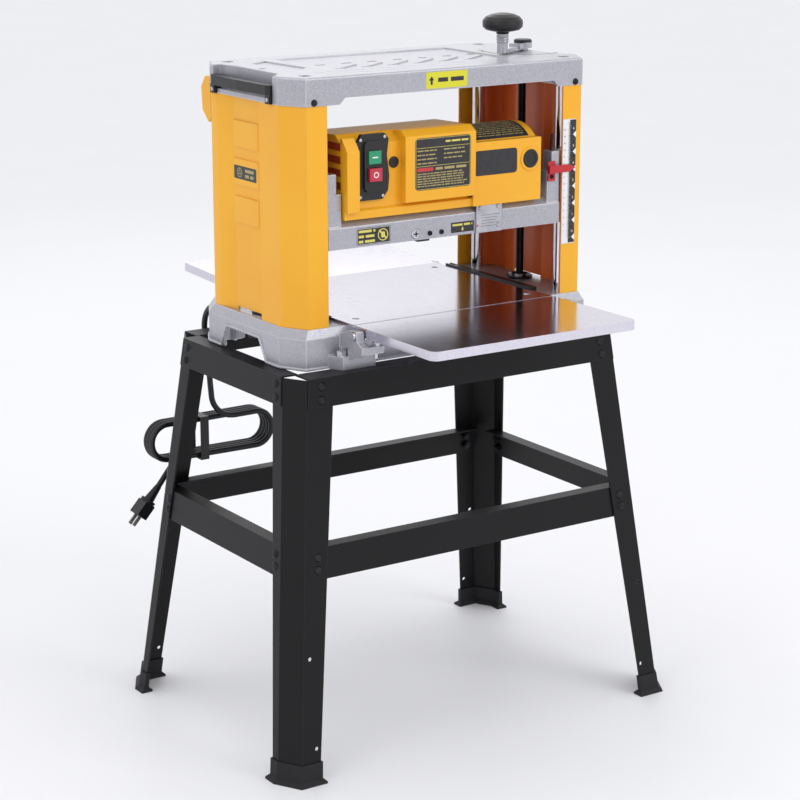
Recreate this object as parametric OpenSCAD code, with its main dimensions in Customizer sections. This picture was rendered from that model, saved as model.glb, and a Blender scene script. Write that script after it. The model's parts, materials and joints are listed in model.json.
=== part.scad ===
// Benchtop thickness planer on its open sheet-steel stand.
// +Z is up, the floor is Z = 0 and the origin is the middle of the footprint.
// Boards go in at -Y, over the infeed table, and leave at +Y.

/* [Stand] */
// Half-width of the stand's frame at its top
stand_top_x = 283; // [265:1:300]
// Half-depth of the stand's frame at its top
stand_top_y = 175; // [165:1:190]
// Half-width of the stand's frame at the floor
stand_foot_x = 340; // [320:1:370]
// Half-depth of the stand's frame at the floor
stand_foot_y = 242.5; // [225:0.5:260]
// Height of the stand
stand_h = 564; // [500:1:700]
// Thickness of the stand's steel sheet
sheet = 2.5; // [2:0.5:3]
// Height of the rails at the top of the legs
rail_h = 41; // [36:1:50]
// Height of the braces' lower edge above the floor
brace_z = 284; // [250:1:350]
// Height of each brace
brace_h = 45; // [36:1:55]

/* [Housing] */
// Half-width of the side covers and of the top
body_x = 256; // [250:1:262]
// Half-depth of the side covers and of the top
body_y = 132; // [130:1:136]
// Half-width of the opening between the side covers
gap_x = 202; // [200:1:204]
// Height of the base casting
base_h = 57; // [54:1:60]
// Height of the side covers
cover_h = 308; // [300:1:320]
// Height of the top casting
top_h = 39; // [36:1:44]
// Wall thickness of the side covers
cover_t = 3; // [2.5:0.5:4]

/* [Tables] */
// Half-width of the planing tables
table_x = 174; // [165:1:174]
// Distance from the middle to the far edge of each folding table
table_reach = 348; // [300:1:400]
// Upward slope of the outfeed table, in degrees
outfeed_rise = 2.5; // [0:0.5:3]

/* [Carriage] */
// Height of the cutting circle above the table
cut_height = 102; // [90:1:120]
// Radius of the cutting circle
cut_r = 25; // [22:0.5:26]
// Radius of the feed rollers
roller_r = 18; // [15:0.5:20]
// Radius of the guide columns
column_r = 10; // [8:0.5:10]
// Radius of the lead screws
screw_r = 6; // [5:0.5:7]

/* [Crank] */
// Distance from the lead screw to the crank's knob
crank_arm_l = 70; // [60:1:90]
// Radius of the knob's head
knob_r = 30; // [22:1:32]

/* [Cord] */
// Diameter of the power cord
cord_d = 9; // [8:0.5:10]

/* [Hidden] */
$fn = 48;
sides = [-1, 1];
corners = [for (x = sides, y = sides) [x, y]];

// Stand
leg_cx = 19;
leg_cy = 34;
flange_x = [43, 30];
flange_y = [27, 14];
foot_h = 30;
sole = 4;
section_caps = [[0, 1, 6, 7], [1, 2, 5, 6], [2, 3, 4, 5]];
tilt_x = atan((stand_foot_x - stand_top_x) / stand_h);
tilt_y = atan((stand_foot_y - stand_top_y) / stand_h);
rail_flange = 33;
brace_flange = 24;
bolt_r = 4;
rail_bolts = [stand_h - 12, stand_h - 31];
brace_bolts = [brace_z + 32, brace_z + 15];
bolt_in_x = 22;
bolt_in_y = 15;

// Heights in the machine
base_z = stand_h;
deck_z = base_z + base_h;
table_z = deck_z + 3.5;
cover_top = deck_z + cover_h;
top_z = cover_top + top_h;
cut_z = table_z + cut_height;
beam_z = cut_z + 1.5;
beam_h = 30;
carriage_deck = beam_z + 50;
tower_top = beam_z + 106;
cut_axis = cut_z + cut_r;
roller_axis = cut_z - 1 + roller_r;
roller_y = 62;

// Places in the machine
body_cx = 21;
body_cy = 39;
column_x = 221;
column_y = 106;
screw_x = 226;
lug_x = [143, 207];
lug_bolt = [193, 150];
hinge_y = 174;
hinge_z = table_z - 10;
hinge_r = 4;
table_in = 154;
corner_r = 12;
stop_y = 190;
stop_x = 162;
run_fit = 0.05;
crank_dir = 208;
knob_z = top_z + 19;

// Motor cover, on the carriage
motor_y = -78;
motor_z = cut_z + 88;
motor_r = 62;
cover_x = [-175, 160];
box_x = [-79, 41];
cowl_front = -126;
cowl_top = cut_z + 158;
cover_z = beam_z + 40;
end_front = -136;

// Switch
switch_pos = [-128, cowl_front - 6, beam_z + 111];
button_z = [14, -10];

// Power cord
cord_r = cord_d / 2;
hank_x = [-308, -92];
hank_z = [base_z - 211, base_z - 147];
hank_y = [204.8, 246];
gland_pos = [-212, 138, base_z + 32];
cord_top = [[-212, 146, 32], [-212, 172, 32], [-212, 190.8, 27], [-212, 204.5, 13.3],
            [-212, 209.5, -5.5], [-209, 209.5, -41], [-205, 209.5, -76], [-203, 209.5, -111.5],
            [-197.6, 209.5, -131.5], [-187.1, 209.5, -143.4]];
cord_end = [[-243.5, 240, -215.8], [-251, 239, -224], [-268, 237, -240], [-284, 236, -253]];
plug_pos = [-284, 236, base_z - 253];
plug_tilt = 222;

// ---- shared shapes ----

function stand_x(z) = stand_foot_x + (stand_top_x - stand_foot_x) * z / stand_h;
function stand_y(z) = stand_foot_y + (stand_top_y - stand_foot_y) * z / stand_h;
function between(pair, z) = pair[1] + (pair[0] - pair[1]) * z / stand_h;

// Rectangle with its four corners cut off, counter-clockwise
function cut_corners(hx, hy, cx, cy) =
    [[hx, cy - hy], [hx, hy - cy], [hx - cx, hy], [cx - hx, hy],
     [-hx, hy - cy], [-hx, cy - hy], [cx - hx, -hy], [hx - cx, -hy]];

function at_z(ring, z) = [for (p = ring) [p.x, p.y, z]];

// Solid between two rings of points that match one to one; caps lists the pieces of its end faces
module loft(low, high, caps) {
    n = len(low);
    ends = is_undef(caps) ? [[for (i = [0:n - 1]) i]] : caps;
    polyhedron(points = concat(low, high), faces = concat(
        ends, [for (c = ends) [for (i = [len(c) - 1:-1:0]) c[i] + n]],
        [for (i = [0:n - 1]) [i, i + n, (i + 1) % n + n, (i + 1) % n]]));
}

module box(x, y, z) translate([x[0], y[0], z[0]]) cube([x[1] - x[0], y[1] - y[0], z[1] - z[0]]);

// Mirrors what is drawn for the front left corner into the corner that the signs s name
module to_corner(s) mirror([s.x > 0 ? 1 : 0, 0, 0]) mirror([0, s.y > 0 ? 1 : 0, 0]) children();

// Mirrors what is drawn for the left side to the side s
module to_side(s) mirror([s > 0 ? 1 : 0, 0, 0]) children();

// Extrudes an outline in Y and Z along X, between two places
module along_x(x) translate([x[0], 0, 0]) rotate([90, 0, 90]) linear_extrude(x[1] - x[0]) children();

// Cylinder along X
module rod_x(x, y, z, r) translate([x[0], y, z]) rotate([0, 90, 0]) cylinder(r = r, h = x[1] - x[0]);

module hexagon(across, h) cylinder(d = across / cos(30), h = h, $fn = 6);

// ---- stand ----

// Cross-section of the front left leg at height z: two flanges with a flat between them
function leg_ring(z) = let (a = stand_x(z), b = stand_y(z), t = sheet)
    [[-a, leg_cy - b + between(flange_y, z), z], [-a, leg_cy - b, z],
     [leg_cx - a, -b, z], [leg_cx - a + between(flange_x, z), -b, z],
     [leg_cx - a + between(flange_x, z), t - b, z], [leg_cx - a + 0.587 * t, t - b, z],
     [t - a, leg_cy - b + 0.26 * t, z], [t - a, leg_cy - b + between(flange_y, z), z]];

// The same section at height z, set out by e all round: the foot follows the leg's shape
function foot_ring(z, e) = let (a = stand_x(z), b = stand_y(z), t = sheet + e)
    [[-a - e, leg_cy - b + between(flange_y, z) + e, z], [-a - e, leg_cy - b - 0.26 * e, z],
     [leg_cx - a - 0.587 * e, -b - e, z], [leg_cx - a + between(flange_x, z) + e, -b - e, z],
     [leg_cx - a + between(flange_x, z) + e, t - b, z], [leg_cx - a + 0.587 * t, t - b, z],
     [t - a, leg_cy - b + 0.26 * t, z], [t - a, leg_cy - b + between(flange_y, z) + e, z]];

// Solid of that section between two heights, set out by a pair of distances
module foot_piece(z, e) loft(foot_ring(z[0], e[0]), foot_ring(z[1], e[1]), section_caps);

// Puts what it draws on the leg's faces at height z, out from the face by off
module on_leg(z, off) {
    translate([leg_cx + bolt_in_x - stand_x(z), -stand_y(z) - off, z]) rotate([90 - tilt_y, 0, 0])
        children();
    translate([-stand_x(z) - off, leg_cy + bolt_in_y - stand_y(z), z]) rotate([0, tilt_x - 90, 0])
        children();
}

module leg_bolt_holes() {
    for (z = concat(rail_bolts, brace_bolts))
        on_leg(z, 0) translate([0, 0, -20]) cylinder(r = bolt_r + 0.3, h = 40);
}

// Spare holes in the wide flange: distance from the corner, and height
spare_holes = [[29.7, 177], [43, 49]];

module leg(s) color("#26262a") to_corner(s) difference() {
    loft(leg_ring(sole), leg_ring(stand_h - sheet), section_caps);
    leg_bolt_holes();
    for (h = spare_holes) translate([h[0] - stand_x(h[1]), -stand_y(h[1]), h[1]])
        rotate([90 - tilt_y, 0, 0]) translate([0, 0, -10]) cylinder(r = 3, h = 20);
}

// Plastic shoe: a flange on the floor and a sleeve that the leg's end stands in
module foot(s) color("#151517") to_corner(s) difference() {
    union() {
        foot_piece([0, 3], [8, 7.5]);
        foot_piece([3, 7], [7.5, 3]);
        foot_piece([7, foot_h], [2.6, 2.2]);
    }
    foot_piece([sole, foot_h + 2], [0.04, 0.04]);
}

// Sheet strip on the frame's front face from z0 to z1, out from the legs' outside by off
module strip_front(z0, z1, off, inset) {
    function ring(z) = let (x = stand_x(z) - leg_cx - inset, y = stand_y(z) + off)
        [[-x, -y, z], [x, -y, z], [x, sheet - y, z], [-x, sheet - y, z]];
    loft(ring(z0), ring(z1));
}

// The same on the frame's left face
module strip_left(z0, z1, off, inset) {
    function ring(z) = let (x = stand_x(z) + off, y = stand_y(z) - leg_cy - inset)
        [[-x, -y, z], [sheet - x, -y, z], [sheet - x, y, z], [-x, y, z]];
    loft(ring(z0), ring(z1));
}

module bolt_holes_both() {
    for (c = corners) to_corner(c) leg_bolt_holes();
    for (c = corners) translate([c.x * lug_bolt.x, c.y * lug_bolt.y, stand_h - 10])
        cylinder(r = bolt_r + 0.3, h = 20);
}

module rail_front_shape() difference() {
    union() {
        strip_front(stand_h - rail_h, stand_h, sheet, 1);
        box([leg_cx - stand_top_x + 1, stand_top_x - leg_cx - 1],
            [-stand_top_y - sheet + 0.5, rail_flange - stand_top_y], [stand_h - sheet, stand_h]);
    }
    bolt_holes_both();
}

module rail_left_shape() difference() {
    union() {
        strip_left(stand_h - rail_h, stand_h, sheet, 1);
        box([-stand_top_x - sheet + 0.5, brace_flange - stand_top_x],
            [leg_cy - stand_top_y + 1, stand_top_y - leg_cy - 1], [stand_h - sheet, stand_h]);
    }
    bolt_holes_both();
}

module brace_front_shape() difference() {
    z1 = brace_z + brace_h;
    union() {
        strip_front(brace_z, z1, -sheet, 6);
        box([leg_cx + 6 - stand_x(z1), stand_x(z1) - leg_cx - 6],
            [sheet + 0.5 - stand_y(z1), brace_flange - stand_y(z1)], [z1 - sheet, z1]);
    }
    bolt_holes_both();
}

module brace_left_shape() difference() {
    z1 = brace_z + brace_h;
    union() {
        strip_left(brace_z, z1, -sheet, 6);
        box([sheet + 0.5 - stand_x(z1), brace_flange - stand_x(z1)],
            [leg_cy + 6 - stand_y(z1), stand_y(z1) - leg_cy - 6], [z1 - sheet, z1]);
    }
    bolt_holes_both();
}

module rail_front() color("#26262a") rail_front_shape();
module rail_rear() color("#26262a") mirror([0, 1, 0]) rail_front_shape();
module rail_left() color("#26262a") rail_left_shape();
module rail_right() color("#26262a") mirror([1, 0, 0]) rail_left_shape();
module brace_front() color("#26262a") brace_front_shape();
module brace_rear() color("#26262a") mirror([0, 1, 0]) brace_front_shape();
module brace_left() color("#26262a") brace_left_shape();
module brace_right() color("#26262a") mirror([1, 0, 0]) brace_left_shape();

// Button-head bolt with its nut; the head sits on Z = 0 and the nut holds 2 sheets
module stand_bolt() {
    cylinder(r1 = 6.2, r2 = 5.2, h = 1.6);
    translate([0, 0, 1.6]) cylinder(r1 = 5.2, r2 = 3, h = 1.6);
    translate([0, 0, -2 * sheet - 8]) cylinder(r = bolt_r, h = 2 * sheet + 8);
    translate([0, 0, -2 * sheet - 6]) hexagon(11, 6);
}

module stand_bolts() color("#3a3a3e") for (c = corners) to_corner(c) {
    for (z = rail_bolts) on_leg(z, sheet) stand_bolt();
    for (z = brace_bolts) on_leg(z, 0) stand_bolt();
}

// ---- base, tables ----

// Bracket that carries a folding table, seen along X
arm_outline = [[-130, 15], [-130, 45], [-164, 57], [-180, 57], [-183, 43], [-196, 37],
               [-196, 27], [-178, 20], [-160, 15]];

module base_corner() {
    translate([0, 0, base_z]) linear_extrude(19)
        polygon([[-207, -125], [-207, -140], [-196, -160], [-143, -160], [-143, -125]]);
    translate([0, 0, base_z]) along_x([-188, -176]) polygon(arm_outline);
    box([-188, -152], [-196, -184], [base_z + 27, base_z + 37]);
}

module base_casting() color("#a9a9ae") difference() {
    hy = body_y + 6;
    hx = body_x + 8;
    union() {
        difference() {
            union() {
                translate([0, 0, base_z]) linear_extrude(44)
                    polygon(cut_corners(hx, hy, body_cx, body_cy));
                loft(at_z(cut_corners(hx, hy, body_cx, body_cy), base_z + 44),
                     at_z(cut_corners(body_x + 1, body_y + 1, body_cx, body_cy), deck_z));
            }
            box([-hx + 8, hx - 8], [-hy + 46, hy - 46], [base_z - 1, deck_z - 9]);
            box([-hx + 30, hx - 30], [-hy + 8, hy - 8], [base_z - 1, deck_z - 9]);
        }
        for (c = corners) {
            translate([c.x * column_x, c.y * column_y, base_z]) cylinder(r = 18, h = 50);
            to_corner(c) base_corner();
        }
        for (s = sides) translate([s * screw_x - 12, -12, deck_z - 12]) cube([24, 24, 19]);
    }
    for (s = sides) to_side(s) along_x([-hx - 5, -hx + 12])
        polygon([[-64, base_z - 1], [-64, base_z + 9], [-46, base_z + 35], [48, base_z + 35],
            [62, base_z + 9], [62, base_z - 1]]);
    for (c = corners) {
        translate([c.x * column_x, c.y * column_y, base_z + 6]) cylinder(r = column_r + 0.02, h = 60);
        translate([c.x * lug_bolt.x, c.y * lug_bolt.y, base_z - 5]) cylinder(r = bolt_r + 0.3, h = 40);
        translate([c.x * lug_bolt.x, c.y * lug_bolt.y, base_z + 19]) cylinder(r = 9.5, h = 12);
        to_corner(c) {
            rod_x([-200, -150], -hinge_y, hinge_z, hinge_r + 0.02);
            translate([-stop_x, -stop_y, base_z + 15]) cylinder(r = 3.02, h = 30);
        }
    }
    for (s = sides) translate([s * screw_x, 0, deck_z - 30]) cylinder(r = screw_r + run_fit, h = 60);
}

module base_table() color("#c9c6d2") difference() {
    box([-table_x, table_x], [-151, 151], [deck_z, table_z]);
    for (c = corners) translate([c.x * 150, c.y * 120, table_z - 1.5]) cylinder(r = 5, h = 5);
}

// Black guide strips at the edges of the table, forked at their rear ends
module side_strips() color("#141416") for (s = sides) to_side(-s) difference() {
    box([table_x + 1, table_x + 12], [-96, 126], [deck_z, table_z + 2.5]);
    box([table_x + 4, table_x + 9], [108, 130], [deck_z - 1, table_z + 4]);
}

module base_bolts() color("#d0d0d4") for (c = corners)
    translate([c.x * lug_bolt.x, c.y * lug_bolt.y, base_z + 19]) {
        cylinder(r = 8.5, h = 1.6);
        translate([0, 0, 1.6]) hexagon(13, 6);
        translate([0, 0, -36]) cylinder(r = bolt_r, h = 37);
        translate([0, 0, -19 - sheet - 7]) hexagon(13, 7);
    }

module hinge_pins() color("#c8c8cc") for (c = corners) to_corner(c) {
    rod_x([-190, -165], -hinge_y, hinge_z, hinge_r);
    rod_x([-192, -189], -hinge_y, hinge_z, hinge_r + 2.5);
}

module stop_screws() color("#b8b8bc") for (c = corners) to_corner(c)
    translate([-stop_x, -stop_y, base_z + 19]) {
        lift = c.y > 0 ? 16 * tan(outfeed_rise) - 0.1 : 0;
        cylinder(r = 3, h = deck_z - base_z - 18.6 + lift);
        translate([0, 0, 18.05]) hexagon(10, 5);
    }

// Folding table: a folded steel sheet, with its hinge axis at the inner end
module folding_table() difference() {
    union() {
        box([-table_x, table_x], [corner_r - table_reach, -table_in], [deck_z + 0.5, table_z]);
        box([corner_r - table_x, table_x - corner_r], [-table_reach, -table_in], [deck_z + 0.5, table_z]);
        for (x = [-table_x, table_x - 3])
            box([x, x + 3], [corner_r - table_reach, -hinge_y - 7], [hinge_z - 3, table_z]);
        for (x = [-table_x, table_x - 3]) {
            rod_x([x, x + 3], -hinge_y, hinge_z, 6.8);
            box([x, x + 3], [-hinge_y - 7.5, -hinge_y + 5], [hinge_z, table_z]);
            box([x, x + 3], [-hinge_y - 7.5, -hinge_y], [hinge_z - 6.8, table_z]);
        }
        box([corner_r - table_x, table_x - corner_r], [-table_reach, 3 - table_reach], [hinge_z - 3, table_z]);
        for (s = sides) translate([s * (table_x - corner_r), corner_r - table_reach, hinge_z - 3])
            cylinder(r = corner_r, h = 13);
        for (x = [-90, 0, 90])
            box([x - 1.5, x + 1.5], [3 - table_reach, -table_in - 30], [hinge_z - 2, table_z]);
    }
    rod_x([-200, 200], -hinge_y, hinge_z, hinge_r + 0.06);
    for (x = [-table_x + 3, table_x - 18]) box([x, x + 15], [-hinge_y - 40, -table_in + 1],
        [hinge_z - 8, deck_z + 0.5]);
}

module infeed_table() color("#cbc8d6") folding_table();
module outfeed_table() color("#cbc8d6") translate([0, hinge_y, hinge_z]) rotate([outfeed_rise, 0, 0])
    translate([0, -hinge_y, -hinge_z]) mirror([0, 1, 0]) folding_table();

// ---- frame of the machine ----

module column(s) color("#d4d4d8") translate([s.x * column_x, s.y * column_y, base_z + 6])
    cylinder(r = column_r, h = top_z - base_z - 20);

// Outline of the left cover, open towards the middle, set in by t
function cover_outline(t) = let (x = t - body_x, y = body_y - t)
    [[-gap_x, -y], [x + body_cx - 0.4 * t, -y], [x, body_cy - y - 0.5 * t + t], [x, -40], [x + 8, -30],
     [x + 8, 42], [x, 77], [x, y - body_cy - 0.5 * t], [x + body_cx - 0.4 * t, y], [-gap_x, y]];

module side_cover() color("#f2b21f") translate([0, 0, deck_z]) difference() {
    union() {
        linear_extrude(cover_h) polygon(cover_outline(0));
        for (z = [[129, 166], [183, 220], [237, 274]]) translate([0, 0, z[0]])
            linear_extrude(z[1] - z[0]) polygon([[-body_x + 9, -30], [-body_x + 5, -26],
                [-body_x + 5, 40], [-body_x + 9, 44]]);
    }
    translate([0, 0, -1]) linear_extrude(cover_h + 2)
        polygon(concat([[-gap_x + 5, -body_y + cover_t]],
            [for (i = [1:8]) cover_outline(cover_t)[i]], [[-gap_x + 5, body_y - cover_t]]));
    box([-body_x - 5, -body_x + 14], [-28, 40], [-1, 5]);
}

module cover_left() side_cover();
module cover_right() color("#f2b21f") mirror([1, 0, 0]) side_cover();

// Top casting, with a hand scoop in each side and a ribbed panel on top
module top_casting() color("#aaaab0") difference() {
    union() {
        difference() {
            union() {
                translate([0, 0, cover_top]) linear_extrude(top_h - 2)
                    polygon(cut_corners(body_x + 1, body_y + 1, body_cx, body_cy));
                loft(at_z(cut_corners(body_x + 1, body_y + 1, body_cx, body_cy), top_z - 2),
                     at_z(cut_corners(body_x - 1, body_y - 1, body_cx, body_cy), top_z));
            }
            box([-204, 204], [-body_y + 6, body_y - 6], [cover_top - 1, top_z - 7]);
        }
        for (c = corners) translate([c.x * column_x, c.y * column_y, cover_top]) cylinder(r = 16, h = 30);
        for (x = [-150:60:150]) box([x - 2, x + 2], [-body_y + 4, body_y - 4], [top_z - 26, top_z - 6]);
    }
    rotate([90, 0, 0]) translate([0, 0, -body_y - 5]) linear_extrude(2 * body_y + 10)
        polygon([[-183, cover_top - 1], [-173, cover_top + 9], [184, cover_top + 9], [193, cover_top - 1]]);
    for (s = sides) to_side(s) {
        translate([0, 0, cover_top + 7]) linear_extrude(top_h)
            polygon([[-body_x - 5, -80], [-body_x + 4, -80], [-237, -62], [-237, 50], [-245, 86],
                [-body_x - 5, 86]]);
        box([-body_x - 5, -body_x + 6], [-80, -67], [cover_top - 1, top_z + 1]);
        box([-body_x - 5, -body_x + 6], [73, 86], [cover_top - 1, top_z + 1]);
    }
    for (c = corners) {
        translate([c.x * column_x, c.y * column_y, cover_top - 1]) cylinder(r = column_r + 0.02, h = 27);
        translate([c.x * column_x, c.y * column_y, top_z - 20]) cylinder(r = 4.1, h = 30);
        translate([c.x * column_x, c.y * column_y, top_z - 5]) cylinder(r = 9, h = 10);
    }
    for (s = sides) translate([s * screw_x, 0, cover_top - 5]) cylinder(r = screw_r + run_fit, h = 60);
    top_panel();
    for (x = [-223, 223]) translate([x, -body_y + 12, cover_top + 5]) rotate([90, 0, 0])
        cylinder(r = 2.6, h = 30);
}

// Shallow recesses in the top: the long panel with its slanting ribs, and the left trapezium
module top_panel() {
    difference() {
        box([-150, 150], [-62, 96], [top_z - 2, top_z + 1]);
        for (x = [-140:44:120]) translate([x, -54, top_z - 3]) linear_extrude(6)
            polygon([[0, 0], [7, 0], [59, 36], [52, 36]]);
    }
    for (x = [-134:44:130]) translate([x, 6, top_z - 6]) linear_extrude(8)
        polygon([[0, 0], [16, 0], [19, 10], [3, 10]]);
    for (y = [-84, -108]) box([-190, 190], [y, y + 3], [top_z - 1.5, top_z + 1]);
    translate([0, 0, top_z - 2]) linear_extrude(5) polygon([[-206, 64], [-172, 84], [-166, -20], [-200, -56]]);
}

module top_screws() color("#2a2a2e") {
    for (c = corners) translate([c.x * column_x, c.y * column_y, top_z - 5]) {
        difference() {
            cylinder(r = 7.5, h = 4);
            translate([0, 0, 2]) hexagon(6, 3);
        }
        translate([0, 0, -8]) cylinder(r = 4, h = 8);
    }
    for (x = [-223, 223]) translate([x, -body_y - 1, cover_top + 5]) rotate([90, 0, 0]) {
        cylinder(r1 = 5, r2 = 3.6, h = 2.6);
        translate([0, 0, -12]) cylinder(r = 2.5, h = 12);
    }
}

// Carrying handle that bridges the hand scoop, bolted to the casting at both ends
module handle() color("#131315") {
    translate([0, 0, cover_top + 12]) linear_extrude(14) polygon([[-body_x + 5.9, -79], [-body_x - 5, -79],
        [-body_x - 8, -72], [-body_x - 10, 3], [-body_x - 8, 78], [-body_x - 5, 85],
        [-body_x + 5.9, 85], [-body_x + 5.9, 74], [-body_x + 2, 66], [-body_x + 1, 3],
        [-body_x + 2, -60], [-body_x + 5.9, -68]]);
    for (y = [-79, 74]) box([-body_x - 6, -body_x + 5.9], [y, y + 11], [cover_top + 0.2, cover_top + 13]);
}

module handle_left() handle();
module handle_right() color("#131315") mirror([1, 0, 0]) handle();

module depth_scale() color("#e8e8ea") box([202.5, 226], [-body_y - 1, -body_y], [base_z + 132, base_z + 316]);

// Roller chain round the two sprockets, under the base's deck
module drive_chain() color("#4a4a4e") translate([0, 0, base_z + 21.5]) linear_extrude(5) difference() {
    chain_outline(25.5);
    chain_outline(22.6);
}
module chain_outline(r) {
    for (s = sides) translate([s * screw_x, 0]) circle(r);
    square([2 * screw_x, 2 * r], center = true);
}

// ---- lift ----

module lead_screw(s) {
    translate([s * screw_x, 0, base_z + 11]) cylinder(r = screw_r, h = top_z - base_z - (s < 0 ? 13 : 11));
    translate([s * screw_x, 0, base_z + 20]) cylinder(r = 12, h = 8);
    translate([s * screw_x, 0, base_z + 22]) cylinder(r = 22, h = 4);
}

module lead_screw_left() color("#1f1f22") lead_screw(-1);
module lead_screw_right() color("#1f1f22") lead_screw(1);

module at_crank() translate([screw_x, 0, 0]) rotate([0, 0, crank_dir]) children();

module crank_arm() color("#b9b9be") at_crank() {
    translate([0, 0, top_z + 0.3]) cylinder(r = 8, h = 4);
    translate([0, 0, top_z + 4]) cylinder(r = 14, h = 8);
    translate([0, -9, top_z + 4]) cube([crank_arm_l * 0.4, 18, 8]);
    translate([0, -7, top_z + 2]) cube([crank_arm_l, 14, 6]);
    translate([crank_arm_l, 0, top_z + 2]) cylinder(r = 8, h = 14);
    translate([crank_arm_l, 0, top_z + 16]) cylinder(r = 4.5, h = 30);
}

module crank_cap() color("#17171a") at_crank() translate([0, 0, top_z + 12]) {
    cylinder(r = 13.5, h = 3);
    translate([0, 0, 3]) cylinder(r1 = 13.5, r2 = 11.5, h = 1.5);
}

// Mushroom knob, turned from one piece
module crank_knob() color("#101012") at_crank() translate([crank_arm_l, 0, knob_z - 2.6]) rotate_extrude()
    polygon([[4.56, 0], [8.5, 0], [8.5, 13], [10, 16.5], [17, 18], [25, 20], [knob_r - 0.6, 24], [knob_r, 29],
             [knob_r - 0.6, 34], [25, 39], [17, 42.5], [8, 44.3], [0, 44.8], [0, 30.5], [4.56, 30.5]]);

// ---- carriage ----

carriage_z = [beam_z, carriage_deck + 4];

module carriage_beam() along_x([-200, 200]) polygon([[-130, beam_z], [-130, beam_z + beam_h],
    [-118, beam_z + beam_h + 9], [-108, beam_z + beam_h + 9], [-108, carriage_deck + 4],
    [-103, carriage_deck + 4], [-103, beam_z]]);

// Seen from the front: the upright that carries the column bushings, stepped at its top
module carriage_upright(top) translate([0, -108, 0]) rotate([90, 0, 0]) linear_extrude(20)
    polygon([[-200, beam_z + 20], [-200, top], [-186, top], [-186, top - 28], [-178, top - 28],
        [-178, beam_z + 20]]);

module carriage() color("#b0b0b6") difference() {
    union() {
        carriage_beam();
        mirror([0, 1, 0]) carriage_beam();
        for (s = sides) to_side(s) translate([0, 0, beam_z])
            linear_extrude(carriage_z[1] - beam_z) polygon([[-178, -126], [-224, -126], [-243, -84],
                [-243, 84], [-224, 126], [-178, 126]]);
        box([-180, 180], [-105, 105], [carriage_deck, carriage_deck + 4]);
        for (c = corners) to_corner(c) {
            translate([-column_x, -column_y, beam_z]) cylinder(r = 17, h = tower_top - beam_z);
            carriage_upright(c.x > 0 ? tower_top : tower_top - 1);
        }
    }
    for (c = corners) translate([c.x * column_x, c.y * column_y, beam_z - 5])
        cylinder(r = column_r + run_fit, h = 130);
    for (s = sides) translate([s * screw_x, 0, beam_z - 5]) cylinder(r = screw_r + run_fit, h = 130);
    for (y = [-roller_y, roller_y]) rod_x([-212, 212], y, roller_axis, 8 + run_fit);
    rod_x([-212, 212], 0, cut_axis, 12 + run_fit);
    for (y = [-roller_y, roller_y]) rod_x([-180, 180], y, roller_axis, roller_r + 1);
    rod_x([-180, 180], 0, cut_axis, cut_r + 2);
    box([-50, -28], [-127, -117], [beam_z - 1, beam_z + 16]);
    box([-120, 120], [12, 60], [carriage_deck - 1, carriage_deck + 5]);
}

module cutterhead() color("#8d8d92") {
    difference() {
        rod_x([-171, 171], 0, cut_axis, cut_r - 1.5);
        for (a = [90, 210, 330]) translate([0, 0, cut_axis]) rotate([a, 0, 0])
            box([-175, 175], [-5, 3], [cut_r - 8, cut_r + 2]);
    }
    for (a = [90, 210, 330]) translate([0, 0, cut_axis]) rotate([a, 0, 0]) {
        box([-168, 168], [-1.6, 0.6], [cut_r - 10, cut_r - 0.1]);
        box([-168, 168], [-5, -1.6], [cut_r - 10, cut_r - 4]);
    }
    rod_x([-210, 210], 0, cut_axis, 12);
}

module feed_roller(y) color("#2b2b2e") {
    rod_x([-170, 170], y, roller_axis, roller_r);
    rod_x([-210, 210], y, roller_axis, 8);
}

module infeed_roller() feed_roller(-roller_y);
module outfeed_roller() feed_roller(roller_y);

// Side view of the cowl: upright front, short flat ridge, then a slope down to the rear
function cowl_outline(t) = [[cowl_front + t, carriage_deck + 4 - (t > 0 ? 1 : 0)],
    [cowl_front + t, cowl_top - 14 - t / 2], [cowl_front + 18, cowl_top - t], [-38, cowl_top - 2 - t],
    [60 - t, cowl_top - 42 - t / 2], [70 - t, carriage_deck + 4 - (t > 0 ? 1 : 0)]];

// The cover's front, below the cowl and round its raised parts
module cover_front() {
    along_x([cover_x[0], cover_x[1]]) polygon([[cowl_front, cover_z], [-132, cover_z], [-132, cover_z + 11],
        [cowl_front, cover_z + 14]]);
    box(cover_x, [cowl_front, -109], [cover_z - 0.5, carriage_deck + 5]);
    along_x(box_x) polygon([[cowl_front + 1, cover_z + 17], [-140, cover_z + 17], [-140, cover_z + 109],
        [-126, cowl_top + 1], [-110, cowl_top]]);
    along_x([cover_x[0], cover_x[0] + 20]) polygon([[cowl_front + 1, cover_z + 11], [-140, cover_z + 11],
        [-140, cover_z + 95], [-126, cover_z + 113], [cowl_front + 1, cover_z + 113]]);
}

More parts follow.
